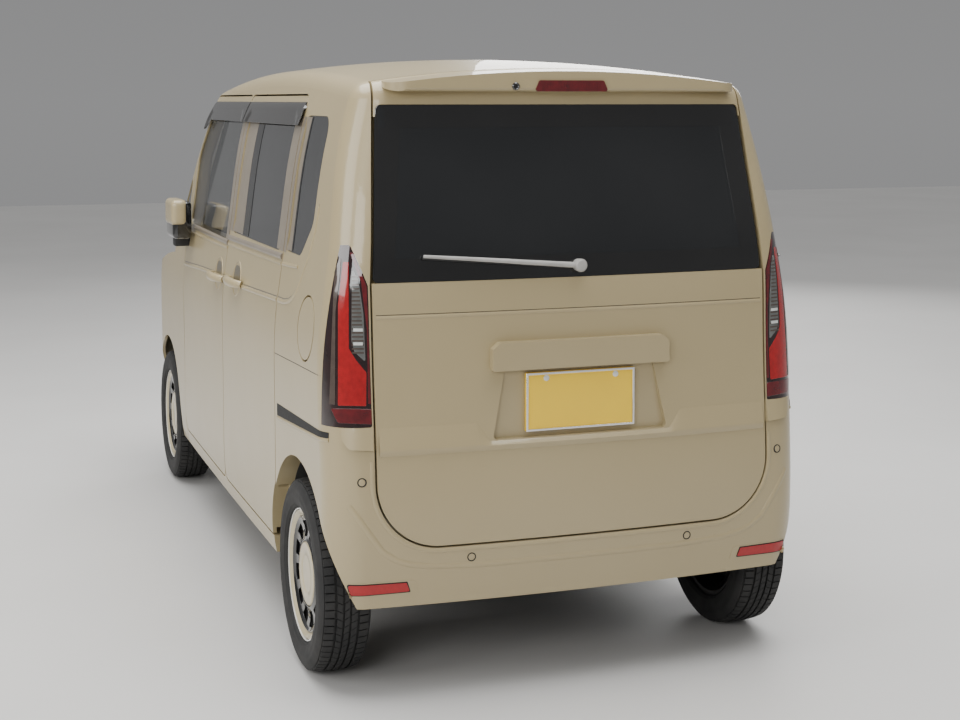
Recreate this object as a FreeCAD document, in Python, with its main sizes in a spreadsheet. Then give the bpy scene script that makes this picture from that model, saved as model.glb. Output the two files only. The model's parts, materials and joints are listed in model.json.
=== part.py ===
import FreeCAD, Part
import math
import os
import Sketcher
from FreeCAD import Rotation, Vector

# Driving sizes in millimetres, one cell each: alias, value.
SIZES = (
    ("overall_length", 3395), ("overall_width", 1475), ("roof_height", 1785),
    ("wheelbase", 2520), ("front_overhang", 477.5), ("track", 1305),
    ("tyre_radius", 278), ("tyre_width", 155), ("bead_radius", 178), ("rim_width", 126),
    ("flange_radius", 190), ("hub_radius", 92), ("axle_radius", 16), ("disc_depth", 26),
    ("wheel_slots", 12), ("slot_radius", 13),
    ("arch_radius", 345), ("sill_height", 250), ("door_bottom", 305), ("door_top", 1668),
    ("belt_height", 1155), ("slide_belt_height", 1190), ("window_top", 1606),
    ("door_length", 900), ("door_ahead_of_axle", 480), ("slide_behind_axle", 285),
    ("wall_thickness", 57), ("door_thickness", 45), ("door_step", 20),
    ("jamb_reach", 25), ("panel_gap", 6), ("seat_gap", 0.3), ("skin_thickness", 12),
    ("frame_width", 52), ("pane_depth", 5), ("pane_thickness", 5),
    ("cowl_forward", 1262), ("cowl_height", 1015), ("screen_slope", 0.857),
    ("screen_bottom", 1050), ("screen_top", 1642), ("pillar_width", 72),
    ("roof_rear_drop", 63), ("roof_front_drop", 95), ("roof_crown", 3900), ("roof_edge", 70),
    ("bonnet_crown", 6500),
    ("roof_half_width", 545), ("roof_thickness", 24),
    ("bonnet_front_height", 870), ("bonnet_edge", 45), ("bonnet_half_width", 615),
    ("cowl_half_width", 618),
    ("bonnet_thickness", 15), ("fender_top", 1012), ("lamp_bottom_front", 690),
    ("lamp_inner_front", 465), ("lamp_depth", 60), ("grille_bottom", 715),
    ("bumper_bottom_front", 205), ("bumper_bottom_rear", 271),
    ("seam_height", 691), ("gate_bottom", 434), ("rear_panel_bottom", 400), ("gate_half_width", 594),
    ("gate_corner", 180), ("gate_seam", 1477), ("gate_glass_bottom", 1158),
    ("gate_glass_half_width", 591), ("gate_glass_top", 1640), ("gate_glass_taper", 35),
    ("gate_window_inset", 62), ("gate_reach", 72),
    ("spoiler_reach", 1597), ("spoiler_bottom", 1674),
    ("tail_lamp_bottom", 772), ("tail_lamp_shoulder", 1153), ("tail_lamp_top", 1262),
    ("tail_lamp_front", 1572), ("tail_lamp_depth", 45),
    ("plate_width", 330), ("plate_height", 165), ("plate_thickness", 3),
    ("plate_centre_height", 815), ("plate_hole_spacing", 210), ("plate_hole_radius", 3.5),
    ("plate_rise", 62), ("recess_half_width", 225), ("recess_depth", 22),
    ("garnish_half_width", 267), ("garnish_bottom", 909), ("garnish_top", 988),
    ("fuel_lid_radius", 88), ("fuel_lid_back", 1388), ("fuel_lid_height", 1010),
    ("floor_height", 238), ("floor_thickness", 20), ("load_floor_height", 560),
    ("kick_back", 880), ("firewall_forward", 850), ("shelf_height", 978),
    ("apron_half_width", 390), ("tower_roof", 640), ("tower_thickness", 14),
    ("kingpin_ground", 650), ("kingpin_top", 520), ("kingpin_height", 640), ("ball_joint_height", 174),
    ("strut_radius", 22), ("engine_length", 400), ("engine_width", 620), ("engine_height", 480),
    ("engine_bottom", 290), ("seat_width", 490), ("seat_offset", 330), ("seat_height", 560),
    ("rear_seat_width", 1100), ("helm_radius", 185), ("helm_rim", 14),
    ("mirror_front", 725), ("mirror_length", 190), ("mirror_in", 728), ("mirror_reach", 808),
    ("mirror_height", 1155),
    ("tank_length", 620), ("tank_width", 700), ("tank_height", 95), ("pipe_radius", 22),
    ("beam_radius", 38), ("arm_length", 340), ("pipe_side", 345), ("spring_radius", 50),
    ("tow_eye_radius", 8), ("tow_eye_side", 351), ("tow_eye_height", 415),
    ("rail_width", 50), ("rail_bottom", 380), ("rail_height", 100), ("lock_bar_bottom", 740),
    ("lock_bar_height", 60), ("bar_depth", 40),
)

# Plan sections of the body, from low to high. Each row gives the level and whether it is
# counted from the ground or down from the roof, then how far the side, the nose and the
# tail lie inside the overall box, and the corner radii in front and behind.
SECTIONS = (
    ("ground", 180, 36, 57, 38, 190, 112),
    ("ground", 330, 6, 16, 10, 190, 112),
    ("ground", 600, 2, 7, 3, 190, 110),
    ("ground", 850, 1, 21, 23, 180, 110),
    ("ground", 1020, 9, 97, 34, 150, 110),
    ("ground", 1160, 29, 197, 43, 130, 106),
    ("roof", 385, 62, 300, 89, 125, 103),
    ("roof", 135, 117, 400, 137, 115, 98),
    ("roof", -75, 167, 500, 180, 110, 95),
)
SIDE_RADIUS = 90000.0
NOSE_RADIUS = 2300.0
SCREEN_RADIUS = 1900.0
TAIL_RADIUS = 7500.0
SIDE_MIDDLE = -150.0

doc = FreeCAD.newDocument("kei_car")
sheet = doc.addObject("Spreadsheet::Sheet", "sizes")
for row, (alias, value) in enumerate(SIZES, start=1):
    sheet.set(f"A{row}", alias)
    sheet.set(f"B{row}", str(value))
    sheet.setAlias(f"B{row}", alias)
doc.recompute()


class Sizes:
    """Reads a driving size from the sheet by its alias."""

    def __getattr__(self, alias):
        return float(sheet.get(alias))


mm = Sizes()
nose_x = mm.overall_length / 2
tail_x = -mm.overall_length / 2
half_width = mm.overall_width / 2
front_axle = nose_x - mm.front_overhang
rear_axle = front_axle - mm.wheelbase
door_front = front_axle - mm.door_ahead_of_axle
door_split = door_front - mm.door_length
slide_rear = rear_axle + mm.slide_behind_axle
MIRROR_PLANE = (Vector(0, 0, 0), Vector(0, 1, 0))
FORWARD, LEFT, UP = Vector(1, 0, 0), Vector(0, 1, 0), Vector(0, 0, 1)

nodes = {}


def feature(label, shape):
    """A sub-part whose shape comes from Part's own functions."""
    part = doc.addObject("Part::Feature", label)
    part.Label = label
    part.Shape = shape
    part.Placement = FreeCAD.Placement()
    nodes[label] = part
    return part


def keep(label, part):
    """Names a parametric object as the sub-part of that label."""
    part.Label = label
    nodes[label] = part
    return part


def mirrored(shape):
    return shape.mirror(*MIRROR_PLANE)


def pair(shape):
    """The piece with its mirror image, as separate solids."""
    return Part.makeCompound(shape.Solids + mirrored(shape).Solids)


def box(x_low, x_high, y_low, y_high, z_low, z_high):
    corner = Vector(x_low, y_low, z_low)
    return Part.makeBox(x_high - x_low, y_high - y_low, z_high - z_low, corner)


def across(box_left):
    """A left-hand cutter joined with its mirror image."""
    return Part.makeCompound([box_left, mirrored(box_left)])


def cylinder_y(radius, x, z, y_low, y_high):
    return Part.makeCylinder(radius, y_high - y_low, Vector(x, y_low, z), LEFT)


def placed(plane, a, b):
    """A point of a side (x, z), rear (y, z) or plan (x, y) outline."""
    if plane == "side":
        return Vector(a, 0, b)
    if plane == "rear":
        return Vector(0, a, b)
    return Vector(a, b, 0)


NORMAL = {"side": LEFT, "rear": FORWARD, "plan": UP}


def outline(plane, corners):
    """A face inside straight runs joined by tangent arcs: corners are (a, b, radius)."""
    spots = [placed(plane, a, b) for a, b, radius in corners]
    stops = []
    for index, (a, b, radius) in enumerate(corners):
        spot = spots[index]
        back = spots[index - 1] - spot
        ahead = spots[(index + 1) % len(spots)] - spot
        back = back * (1 / back.Length)
        ahead = ahead * (1 / ahead.Length)
        half = math.acos(back.dot(ahead)) / 2
        middle = back + ahead
        if radius == 0 or middle.Length < 1e-6:
            stops.append((spot, None, spot))
            continue
        reach = radius / math.tan(half)
        sink = radius / math.sin(half) - radius
        stops.append((spot + back * reach, spot + middle * (sink / middle.Length), spot + ahead * reach))
    edges = []
    for index, (start, middle, end) in enumerate(stops):
        if middle is not None:
            edges.append(Part.Arc(start, middle, end).toShape())
        following = stops[(index + 1) % len(stops)][0]
        if (following - end).Length > 1e-6:
            edges.append(Part.LineSegment(end, following).toShape())
    return Part.Face(Part.Wire(edges))


def slab(plane, face, low, high, grow=0.0):
    """The outline as a prism between two distances along its plane's normal."""
    if grow:
        face = Part.Face(face.makeOffset2D(grow).Wires[0])
    face = face.translated(NORMAL[plane] * low)
    return face.extrude(NORMAL[plane] * (high - low))


def bent_tube(spots, radius, bend):
    """A round bar along straight runs joined by tangent arcs."""
    edges = []
    start = spots[0]
    for before, corner, after in zip(spots, spots[1:], spots[2:]):
        back = before - corner
        ahead = after - corner
        back = back * (1 / back.Length)
        ahead = ahead * (1 / ahead.Length)
        half = math.acos(back.dot(ahead)) / 2
        reach = bend / math.tan(half)
        inside = (back + ahead) * (1 / (back + ahead).Length)
        middle = corner + inside * (bend / math.sin(half) - bend)
        edges.append(Part.LineSegment(start, corner + back * reach).toShape())
        edges.append(Part.Arc(corner + back * reach, middle, corner + ahead * reach).toShape())
        start = corner + ahead * reach
    edges.append(Part.LineSegment(start, spots[-1]).toShape())
    ring = Part.Wire([Part.makeCircle(radius, spots[0], spots[1] - spots[0])])
    return Part.Wire(edges).makePipeShell([ring], True, False)


def touching_centre(first, first_radius, second, second_radius, end):
    """Where two circles cross, on the side that lies towards the given end."""
    gap = (second - first).Length
    along = (first_radius ** 2 - second_radius ** 2 + gap ** 2) / (2 * gap)
    aside = math.sqrt(first_radius ** 2 - along ** 2)
    unit = (second - first) * (1 / gap)
    foot = first + unit * along
    turn = Vector(-unit.y, unit.x, 0) * aside
    return max((foot + turn, foot - turn), key=lambda spot: end * spot.x)


def plan_ring(level, half, front, front_bow, rear, front_corner, rear_corner, depth):
    """A plan section: bowed sides, front and rear joined by tangent corner arcs."""
    sides = {hand: Vector(SIDE_MIDDLE, hand * (half - SIDE_RADIUS), 0) for hand in (1, -1)}
    ends = (
        (1, Vector(front - front_bow, 0, 0), front_bow, front_corner),
        (-1, Vector(rear + TAIL_RADIUS, 0, 0), TAIL_RADIUS, rear_corner),
    )
    corner = {}
    for end, centre, bow, radius in ends:
        for hand in (1, -1):
            core = touching_centre(centre, bow - radius, sides[hand], SIDE_RADIUS - radius, end)
            to_end = (core - centre) * (1 / (core - centre).Length)
            to_side = (core - sides[hand]) * (1 / (core - sides[hand]).Length)
            between = to_end + to_side
            between = between * ((radius - depth) / between.Length)
            on_end = centre + to_end * (bow - depth)
            on_side = sides[hand] + to_side * (SIDE_RADIUS - depth)
            corner[end, hand] = (on_end, core + between, on_side)
    lift = UP * level

    def arc(start, middle, end):
        return Part.Arc(start + lift, middle + lift, end + lift).toShape()

    front_left, front_right = corner[1, 1], corner[1, -1]
    rear_left, rear_right = corner[-1, 1], corner[-1, -1]
    return Part.Wire([
        arc(front_right[0], Vector(front - depth, 0, 0), front_left[0]),
        arc(*front_left),
        arc(front_left[2], Vector(SIDE_MIDDLE, half - depth, 0), rear_left[2]),
        arc(rear_left[2], rear_left[1], rear_left[0]),
        arc(rear_left[0], Vector(rear + depth, 0, 0), rear_right[0]),
        arc(*rear_right),
        arc(rear_right[2], Vector(SIDE_MIDDLE, depth - half, 0), front_right[2]),
        arc(front_right[2], front_right[1], front_right[0]),
    ])


def screen_x(level):
    """Where the windscreen's plane stands at a level, upright below the cowl."""
    return mm.cowl_forward - mm.screen_slope * (max(level, 850) - mm.cowl_height)


def rings(shape, depth):
    wires = []
    for base, step, side_in, nose_in, tail_in, front_corner, rear_corner in SECTIONS:
        level = step if base == "ground" else mm.roof_height - step
        front, bow = screen_x(level), SCREEN_RADIUS
        if shape == "nose":
            front, bow = nose_x - nose_in, NOSE_RADIUS
        half = half_width - side_in
        rear = tail_x + tail_in
        wires.append(plan_ring(level, half, front, bow, rear, front_corner, rear_corner, depth))
    return wires


def crowned_cutter(start, middle, end, crown):
    """Everything above a surface that is arched along the car and crowned across it."""
    ceiling = 2600
    high_end, high_start = Vector(end.x, 0, ceiling), Vector(start.x, 0, ceiling)
    wire = Part.Wire([
        Part.Arc(start, middle, end).toShape(),
        Part.LineSegment(end, high_end).toShape(),
        Part.LineSegment(high_end, high_start).toShape(),
        Part.LineSegment(high_start, start).toShape(),
    ])
    pivot = Vector(0, 0, middle.z - crown)
    face = Part.Face(wire)
    face.rotate(pivot, FORWARD, -14)
    return face.revolve(pivot, FORWARD, 28)


def capped(solid, cutter, edge_radius):
    """The solid trimmed by the cutter, with the new top face's rim rounded."""
    trimmed = solid.cut(cutter)
    top = max(trimmed.Faces, key=lambda face: face.CenterOfMass.z)
    return trimmed.makeFillet(edge_radius, top.OuterWire.Edges)


def roof_cutter(depth):
    return crowned_cutter(
        Vector(tail_x - 3, 0, mm.roof_height - mm.roof_rear_drop - depth),
        Vector(-350, 0, mm.roof_height - depth),
        Vector(900, 0, mm.roof_height - mm.roof_front_drop - depth),
        mm.roof_crown)


def bonnet_cutter(depth):
    return crowned_cutter(
        Vector(820, 0, mm.cowl_height + 38 - depth),
        Vector(mm.cowl_forward, 0, mm.cowl_height + 3 - depth),
        Vector(nose_x + 20, 0, mm.bonnet_front_height - depth),
        mm.bonnet_crown)


made = {}


def cabin(depth):
    """The cabin's closed form, its skin moved inwards by the depth."""
    key = "cabin", round(depth, 3)
    if key not in made:
        solid = Part.makeLoft(rings("cabin", depth), True, False)
        made[key] = capped(solid, roof_cutter(depth), mm.roof_edge - depth)
    return made[key]


def nose(depth):
    """The car's closed form up to the bonnet, its skin moved inwards by the depth."""
    key = "nose", round(depth, 3)
    if key not in made:
        solid = Part.makeLoft(rings("nose", depth)[:6], True, False)
        if depth < mm.bonnet_edge:
            solid = capped(solid, bonnet_cutter(depth), mm.bonnet_edge - depth)
        made[key] = solid
    return made[key]


half_gap = mm.panel_gap / 2
wall = cabin(0).cut(cabin(mm.wall_thickness))
door_wall = cabin(0).cut(cabin(mm.door_thickness))
pane_wall = cabin(mm.pane_depth).cut(cabin(mm.pane_depth + mm.pane_thickness))
seat_form = cabin(mm.door_thickness + mm.seat_gap)

door_face = outline("side", (
    (door_front, mm.door_bottom, 40), (door_front, mm.door_top - 228, 150),
    (door_front - 187, mm.door_top, 70), (door_split, mm.door_top, 30), (door_split, mm.door_bottom, 40)))
slide_face = outline("side", (
    (door_split, mm.door_bottom, 40), (door_split, mm.door_top, 30),
    (slide_rear, mm.door_top, 50), (slide_rear, mm.door_bottom, 40)))
frame = mm.frame_width
door_pane = outline("side", (
    (door_front - 45, mm.belt_height, 30), (door_front - 45, mm.door_top - 248, 110),
    (door_front - 195, mm.window_top, 40), (door_split + frame, mm.window_top, 30),
    (door_split + frame, mm.belt_height, 30)))
slide_pane = outline("side", (
    (door_split - frame, mm.slide_belt_height, 30), (door_split - frame, mm.window_top, 30),
    (slide_rear + frame, mm.window_top, 40), (slide_rear + frame, mm.slide_belt_height, 30)))
rear_pane = outline("side", (
    (slide_rear - 36, 1198, 25), (slide_rear - 36, mm.window_top, 25),
    (slide_rear - 315, mm.window_top, 60), (slide_rear - 315, 1300, 60), (slide_rear - 210, 1198, 60)))
front_pane = outline("side", (
    (door_front + 33, 1052, 18), (door_front + 300, 1052, 22), (door_front + 33, 1365, 22)))
panes = (("door", door_pane), ("slide", slide_pane), ("rear", rear_pane), ("front", front_pane))


def arch(x, radius):
    """The round wheel opening on both sides of the body."""
    return across(cylinder_y(radius, x, mm.tyre_radius, 400, 900))


def side_zone(face, grow):
    return slab("side", face, 350, 900, grow)


# Doors.
arch_rear = arch(rear_axle, mm.arch_radius)
arch_front = arch(front_axle, mm.arch_radius)


def side_door(face, window):
    """A side door: outer skin with a thinner rim all round, and its window cut."""
    leaf = door_wall.common(side_zone(face, -half_gap))
    rim = side_zone(face, -half_gap).cut(side_zone(face, -mm.door_step))
    leaf = leaf.cut(rim.common(cabin(mm.skin_thickness)))
    return leaf.cut(side_zone(window, 0))


front_door = side_door(door_face, door_pane)
slide_door = side_door(slide_face, slide_pane).cut(arch(rear_axle, mm.arch_radius + mm.panel_gap * 2))
glass = {name: pane_wall.common(side_zone(face, -mm.seat_gap)) for name, face in panes}
feature("door_front_left", front_door)
feature("door_front_right", mirrored(front_door))
feature("door_glass_left", glass["door"])
feature("door_glass_right", mirrored(glass["door"]))
feature("slide_doors", pair(slide_door))
fixed_panes = [pair(glass[name]) for name in ("front", "slide", "rear")]
feature("side_glass", Part.makeCompound([pane for group in fixed_panes for pane in group.Solids]))


# Tailgate with its spoiler, plate recess and raised bar.
gate_face = outline("rear", (
    (-mm.gate_half_width, mm.gate_bottom, mm.gate_corner),
    (mm.gate_half_width, mm.gate_bottom, mm.gate_corner),
    (mm.gate_half_width + 3, mm.tail_lamp_shoulder, 0), (mm.gate_half_width - 34, mm.window_top + 74, 60),
    (mm.gate_half_width - 60, mm.roof_height + 40, 0), (60 - mm.gate_half_width, mm.roof_height + 40, 0),
    (34 - mm.gate_half_width, mm.window_top + 74, 60), (-mm.gate_half_width - 3, mm.tail_lamp_shoulder, 0)))
gate_reach = outline("side", (
    (tail_x - 150, 250, 0), (tail_x + mm.gate_reach, 250, 0), (tail_x + mm.gate_reach, mm.seam_height, 0),
    (tail_x + mm.gate_reach + 40, mm.tail_lamp_shoulder, 0), (-mm.gate_seam - 22, mm.window_top + 34, 0),
    (-mm.gate_seam, mm.window_top + 94, 0), (-mm.gate_seam, 1900, 0), (tail_x - 150, 1900, 0)))


def gate_zone(grow):
    across_zone = slab("rear", gate_face, tail_x - 150, -mm.gate_seam + 200, grow)
    return across_zone.common(slab("side", gate_reach, -800, 800, grow))


gate = door_wall.common(gate_zone(-half_gap))
rim = gate_zone(-half_gap).cut(gate_zone(-mm.door_step))
rim = rim.common(box(tail_x - 200, 0, -800, 800, 0, mm.window_top))
gate = gate.cut(rim.common(cabin(mm.skin_thickness)))


def gate_pane(inset, corner):
    """The outline of the rear glass, moved inwards and with the given corner radius."""
    low, high = mm.gate_glass_bottom + inset, mm.gate_glass_top - inset
    wide = mm.gate_glass_half_width - inset
    narrow = wide - mm.gate_glass_taper
    return outline("rear", (
        (-wide, low, corner), (wide, low, corner), (narrow, high, corner), (-narrow, high, corner)))


glass_zone = slab("rear", gate_pane(0, 16), tail_x - 100, -mm.gate_seam)
side_band = rim.common(box(tail_x - 200, 0, 500, 800, mm.gate_glass_bottom, mm.gate_glass_top))
gate = gate.cut(across(side_band))
gate = gate.cut(glass_zone.cut(cabin(mm.pane_depth + mm.pane_thickness + mm.seat_gap)))
gate = gate.cut(slab("rear", gate_pane(mm.gate_window_inset, 50), tail_x - 100, -mm.gate_seam))
glass_zone = slab("rear", gate_pane(0, 16), tail_x - 100, -mm.gate_seam, -mm.seat_gap)
feature("tailgate_glass", pane_wall.common(glass_zone))
spoiler_half = mm.gate_half_width - 62
spoiler = slab("side", outline("side", (
    (-mm.gate_seam - 40, mm.spoiler_bottom + 14, 0), (-mm.spoiler_reach, mm.spoiler_bottom, 10),
    (-mm.spoiler_reach, 1850, 0), (-mm.gate_seam - 40, 1850, 0))), -spoiler_half, spoiler_half)
spoiler = spoiler.cut([roof_cutter(0), cabin(mm.door_thickness)])
spoiler = spoiler.common(slab("plan", outline("plan", (
    (-mm.gate_seam, -spoiler_half, 0), (-mm.gate_seam, spoiler_half, 0),
    (-mm.spoiler_reach, spoiler_half, 60), (-mm.spoiler_reach, -spoiler_half, 60))), 1600, 1800))
garnish_face = tail_x + 8
recess_floor = tail_x + 14 + mm.recess_depth
garnish = slab("rear", outline("rear", (
    (-mm.garnish_half_width, mm.garnish_bottom, 4), (mm.garnish_half_width, mm.garnish_bottom, 4),
    (mm.garnish_half_width, mm.garnish_top - 18, 4), (mm.garnish_half_width - 22, mm.garnish_top, 4),
    (22 - mm.garnish_half_width, mm.garnish_top, 4), (-mm.garnish_half_width, mm.garnish_top - 18, 4))),
    garnish_face, tail_x + 40)
recess = slab("rear", outline("rear", (
    (-mm.recess_half_width - 40, 718, 12), (mm.recess_half_width + 40, 718, 12),
    (mm.recess_half_width, mm.garnish_bottom, 8), (-mm.recess_half_width, mm.garnish_bottom, 8))),
    tail_x - 60, recess_floor)
gate = gate.fuse([spoiler, garnish]).cut(recess)
plate_holes = [Part.makeCylinder(mm.plate_hole_radius, 60, Vector(tail_x - 10, hand * mm.plate_hole_spacing / 2,
               mm.plate_centre_height + mm.plate_rise), FORWARD) for hand in (1, -1)]
feature("tailgate", gate.removeSplitter())


# Body shell.
lamp_face = outline("rear", (
    (mm.gate_half_width + 8, mm.tail_lamp_bottom, 6), (mm.gate_half_width + 11, mm.tail_lamp_shoulder, 8),
    (mm.gate_half_width + 51, mm.tail_lamp_top, 8), (900, mm.tail_lamp_top - 20, 0),
    (900, mm.tail_lamp_bottom, 0)))
lamp_zone = slab("rear", lamp_face, tail_x - 50, -mm.tail_lamp_front)
lamp_wall = cabin(0).cut(cabin(mm.tail_lamp_depth))
feature("tail_lamps", pair(lamp_wall.common(lamp_zone)))

bumper_zone = box(tail_x - 50, rear_axle - 245, -900, 900, 100, mm.seam_height)
bumper_skin = cabin(0).cut(cabin(mm.skin_thickness))
rear_bumper = bumper_skin.common(bumper_zone).cut(arch_rear).cut(gate_zone(half_gap))
rear_bumper = rear_bumper.cut(box(-2000, 0, -900, 900, 0, mm.bumper_bottom_rear))
feature("rear_bumper", rear_bumper)

roof_zone = slab("plan", outline("plan", (
    (-mm.gate_seam + half_gap, -mm.roof_half_width, 0), (560, -mm.roof_half_width, 40),
    (560, mm.roof_half_width, 40), (-mm.gate_seam + half_gap, mm.roof_half_width, 0))), 1650, 1900)
feature("roof_panel", cabin(0).cut(cabin(mm.roof_thickness)).common(roof_zone))

screen_face = outline("rear", (
    (-640, mm.screen_bottom, 45), (640, mm.screen_bottom, 45),
    (640 - mm.pillar_width, mm.screen_top, 60), (mm.pillar_width - 640, mm.screen_top, 60)))
lid_hole = cylinder_y(mm.fuel_lid_radius + half_gap * 2, -mm.fuel_lid_back, mm.fuel_lid_height, 600, 900)
lid_hole = lid_hole.cut(cabin(mm.roof_thickness))
gate_opening = gate_zone(half_gap).cut(seat_form)
openings = [
    gate_opening, gate_zone(-mm.jamb_reach), roof_zone, arch_rear, lid_hole,
    across(lamp_zone.cut(cabin(mm.tail_lamp_depth))), bumper_zone.cut(cabin(mm.skin_thickness)),
    box(-2000, 2000, -900, 900, 0, mm.sill_height),
    box(door_front + half_gap, 2000, -900, 900, 0, mm.fender_top),
    box(tail_x - 50, rear_axle, -900, 900, 0, mm.rear_panel_bottom), slab("rear", screen_face, 500, 1500),
]
for face in (door_face, slide_face):
    openings.append(across(side_zone(face, half_gap).cut(seat_form)))
    openings.append(across(side_zone(face, -mm.jamb_reach)))
for face in (rear_pane, front_pane):
    openings.append(across(side_zone(face, 0)))
shell = wall
for opening in openings:
    shell = shell.cut(opening)
neck = cylinder_y(40, -mm.fuel_lid_back, mm.fuel_lid_height, 640, 900)
neck = neck.common(cabin(mm.skin_thickness + mm.seat_gap)).cut(cabin(mm.door_thickness))
shell = shell.fuse(neck)
feature("body_shell", max(shell.Solids, key=lambda solid: solid.Volume))
feature("windscreen", pane_wall.common(slab("rear", screen_face, 500, 1500, -mm.seat_gap)))
lid = cabin(0).cut(cabin(mm.skin_thickness))
lid = lid.common(cylinder_y(mm.fuel_lid_radius, -mm.fuel_lid_back, mm.fuel_lid_height, 600, 900))
feature("fuel_lid", lid)


# Bonnet, front fenders, bumper, grille and headlamps.
hood_back = mm.cowl_forward + 9
hood_face = outline("plan", (
    (hood_back, -mm.bonnet_half_width, 20), (hood_back, mm.bonnet_half_width, 20),
    (nose_x - 150, mm.bonnet_half_width - 25, 60), (nose_x + 60, mm.bonnet_half_width - 110, 0),
    (nose_x + 60, 110 - mm.bonnet_half_width, 0), (nose_x - 150, 25 - mm.bonnet_half_width, 60)))


def hood_zone(grow):
    return slab("plan", hood_face, mm.bonnet_front_height + 3 - grow, 1200, grow)


skin = nose(0).cut(nose(mm.skin_thickness))
hood_skin = nose(0).cut(nose(mm.bonnet_thickness))
feature("bonnet", hood_skin.common(hood_zone(-half_gap)))
nose_front = box(front_axle + 250, 2000, -900, 900, 100, mm.lamp_bottom_front)
grille_face = outline("rear", (
    (-mm.lamp_inner_front, mm.grille_bottom, 20), (mm.lamp_inner_front, mm.grille_bottom, 20),
    (mm.lamp_inner_front, mm.bonnet_front_height, 0), (-mm.lamp_inner_front, mm.bonnet_front_height, 0)))
intake_face = outline("rear", ((-430, 330, 30), (430, 330, 30), (470, 455, 30), (-470, 455, 30)))
front_bumper = skin.common(nose_front).cut([
    arch_front, box(0, 2000, -900, 900, 0, mm.bumper_bottom_front), slab("rear", intake_face, 1300, 1800),
])
between = box(1300, 2000, -mm.lamp_inner_front, mm.lamp_inner_front, mm.lamp_bottom_front, mm.grille_bottom)
front_bumper = front_bumper.fuse(skin.common(between)).removeSplitter()
feature("front_bumper", front_bumper)
front_zone = box(front_axle + 335, 2000, mm.lamp_inner_front, 900, mm.lamp_bottom_front,
                 mm.bonnet_front_height)
feature("headlamps", pair(nose(0).cut(nose(mm.lamp_depth)).common(front_zone)))
grille = nose(6).cut(nose(26)).common(slab("rear", grille_face, 1300, 1800))
feature("grille", grille)
fender_zone = box(door_front + half_gap, nose_x, 300, 900, mm.sill_height, mm.cowl_height + 100)
cowl_zone = box(door_front + half_gap, hood_back - half_gap, -mm.cowl_half_width, mm.cowl_half_width,
                900, 1200)
fender = skin.common(fender_zone).cut([
    cowl_zone, box(0, mm.cowl_forward, -900, 900, mm.fender_top, 1300), hood_zone(half_gap), nose_front,
    front_zone, arch_front, box(front_axle + 300, 2000, -500, mm.lamp_inner_front, 0, 1300),
    box(0, hood_back - half_gap, -900, mm.cowl_half_width, 0, 1300),
])
feature("front_fenders", pair(max(fender.Solids, key=lambda solid: solid.Volume)))
cowl = skin.common(cowl_zone).cut(cabin(0))
feature("cowl_panel", max(cowl.Solids, key=lambda solid: solid.Volume))


# Floor, firewall and wheel houses, bent from one sheet.
thick = mm.floor_thickness
floor_top = mm.floor_height + thick
load_top = mm.load_floor_height
sheet_face = outline("side", (
    (tail_x + 40, load_top, 0), (tail_x + 40, load_top - thick, 0),
    (-mm.kick_back - thick, load_top - thick, 30), (-mm.kick_back - thick, mm.floor_height, 40),
    (mm.firewall_forward + thick, mm.floor_height, 60), (mm.firewall_forward + thick, mm.shelf_height, 10),
    (mm.cowl_forward - 30, mm.shelf_height, 0),
    (mm.cowl_forward - 30, mm.shelf_height + thick, 0), (mm.firewall_forward, mm.shelf_height + thick, 20),
    (mm.firewall_forward, floor_top, 40), (-mm.kick_back, floor_top, 60), (-mm.kick_back, load_top, 10)))
floor = slab("side", sheet_face, -800, 800).common(cabin(mm.wall_thickness))
house = cylinder_y(mm.arch_radius + 12, rear_axle, mm.tyre_radius, 500, 900)
house = house.cut(box(-3000, 0, 0, 900, 0, mm.tyre_radius))
house = house.common(cabin(mm.wall_thickness))
hollow = cylinder_y(mm.arch_radius, rear_axle, mm.tyre_radius, 512, 900)
hollow = hollow.fuse(box(rear_axle - mm.arch_radius, rear_axle + mm.arch_radius, 512, 900, 0, mm.tyre_radius))
house = house.cut(hollow)
axle_notch = box(rear_axle - 90, rear_axle + 110, 380, 520, 200, mm.tyre_radius + 72)
floor = floor.cut(across(hollow))
house = house.cut(axle_notch)
floor = floor.fuse([house, mirrored(house)]).removeSplitter()
feature("floor_pan", max(floor.Solids, key=lambda solid: solid.Volume))


# Front structure: rails, inner panels, strut towers and the bonnet's lock bar.
apron_in = mm.apron_half_width - mm.tower_thickness
rail_in = apron_in - mm.rail_width
apron_front = nose_x - 130
apron = box(mm.firewall_forward + thick, apron_front, apron_in, mm.apron_half_width, 300, 800)
shelf = box(mm.firewall_forward + thick, apron_front - 60, mm.apron_half_width, 640, mm.tower_roof,
            mm.tower_roof + mm.tower_thickness)
rail_top = mm.rail_bottom + mm.rail_height
rail = box(mm.firewall_forward + thick, apron_front, rail_in, apron_in, mm.rail_bottom, rail_top)
tower = Part.makeCylinder(70, 60, Vector(front_axle, mm.kingpin_top, mm.tower_roof + mm.tower_thickness), UP)
tower = tower.cut(Part.makeCylinder(mm.strut_radius + 14, 300, Vector(front_axle, mm.kingpin_top, 500), UP))
strut_foot = Vector(front_axle, mm.kingpin_top, mm.tower_roof - 20)
strut_hole = Part.makeCylinder(mm.strut_radius + 14, 60, strut_foot, UP)
side_frame = apron.fuse([shelf, rail, tower]).cut(strut_hole)
tow_spot = Vector(apron_front - mm.bar_depth, mm.tow_eye_side, mm.tow_eye_height)
left_frame = side_frame.cut(Part.makeCylinder(mm.tow_eye_radius, 2 * mm.bar_depth, tow_spot, FORWARD))
right_frame = mirrored(side_frame).removeSplitter()
feature("front_frame", Part.makeCompound([left_frame.removeSplitter(), right_frame]))

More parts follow.
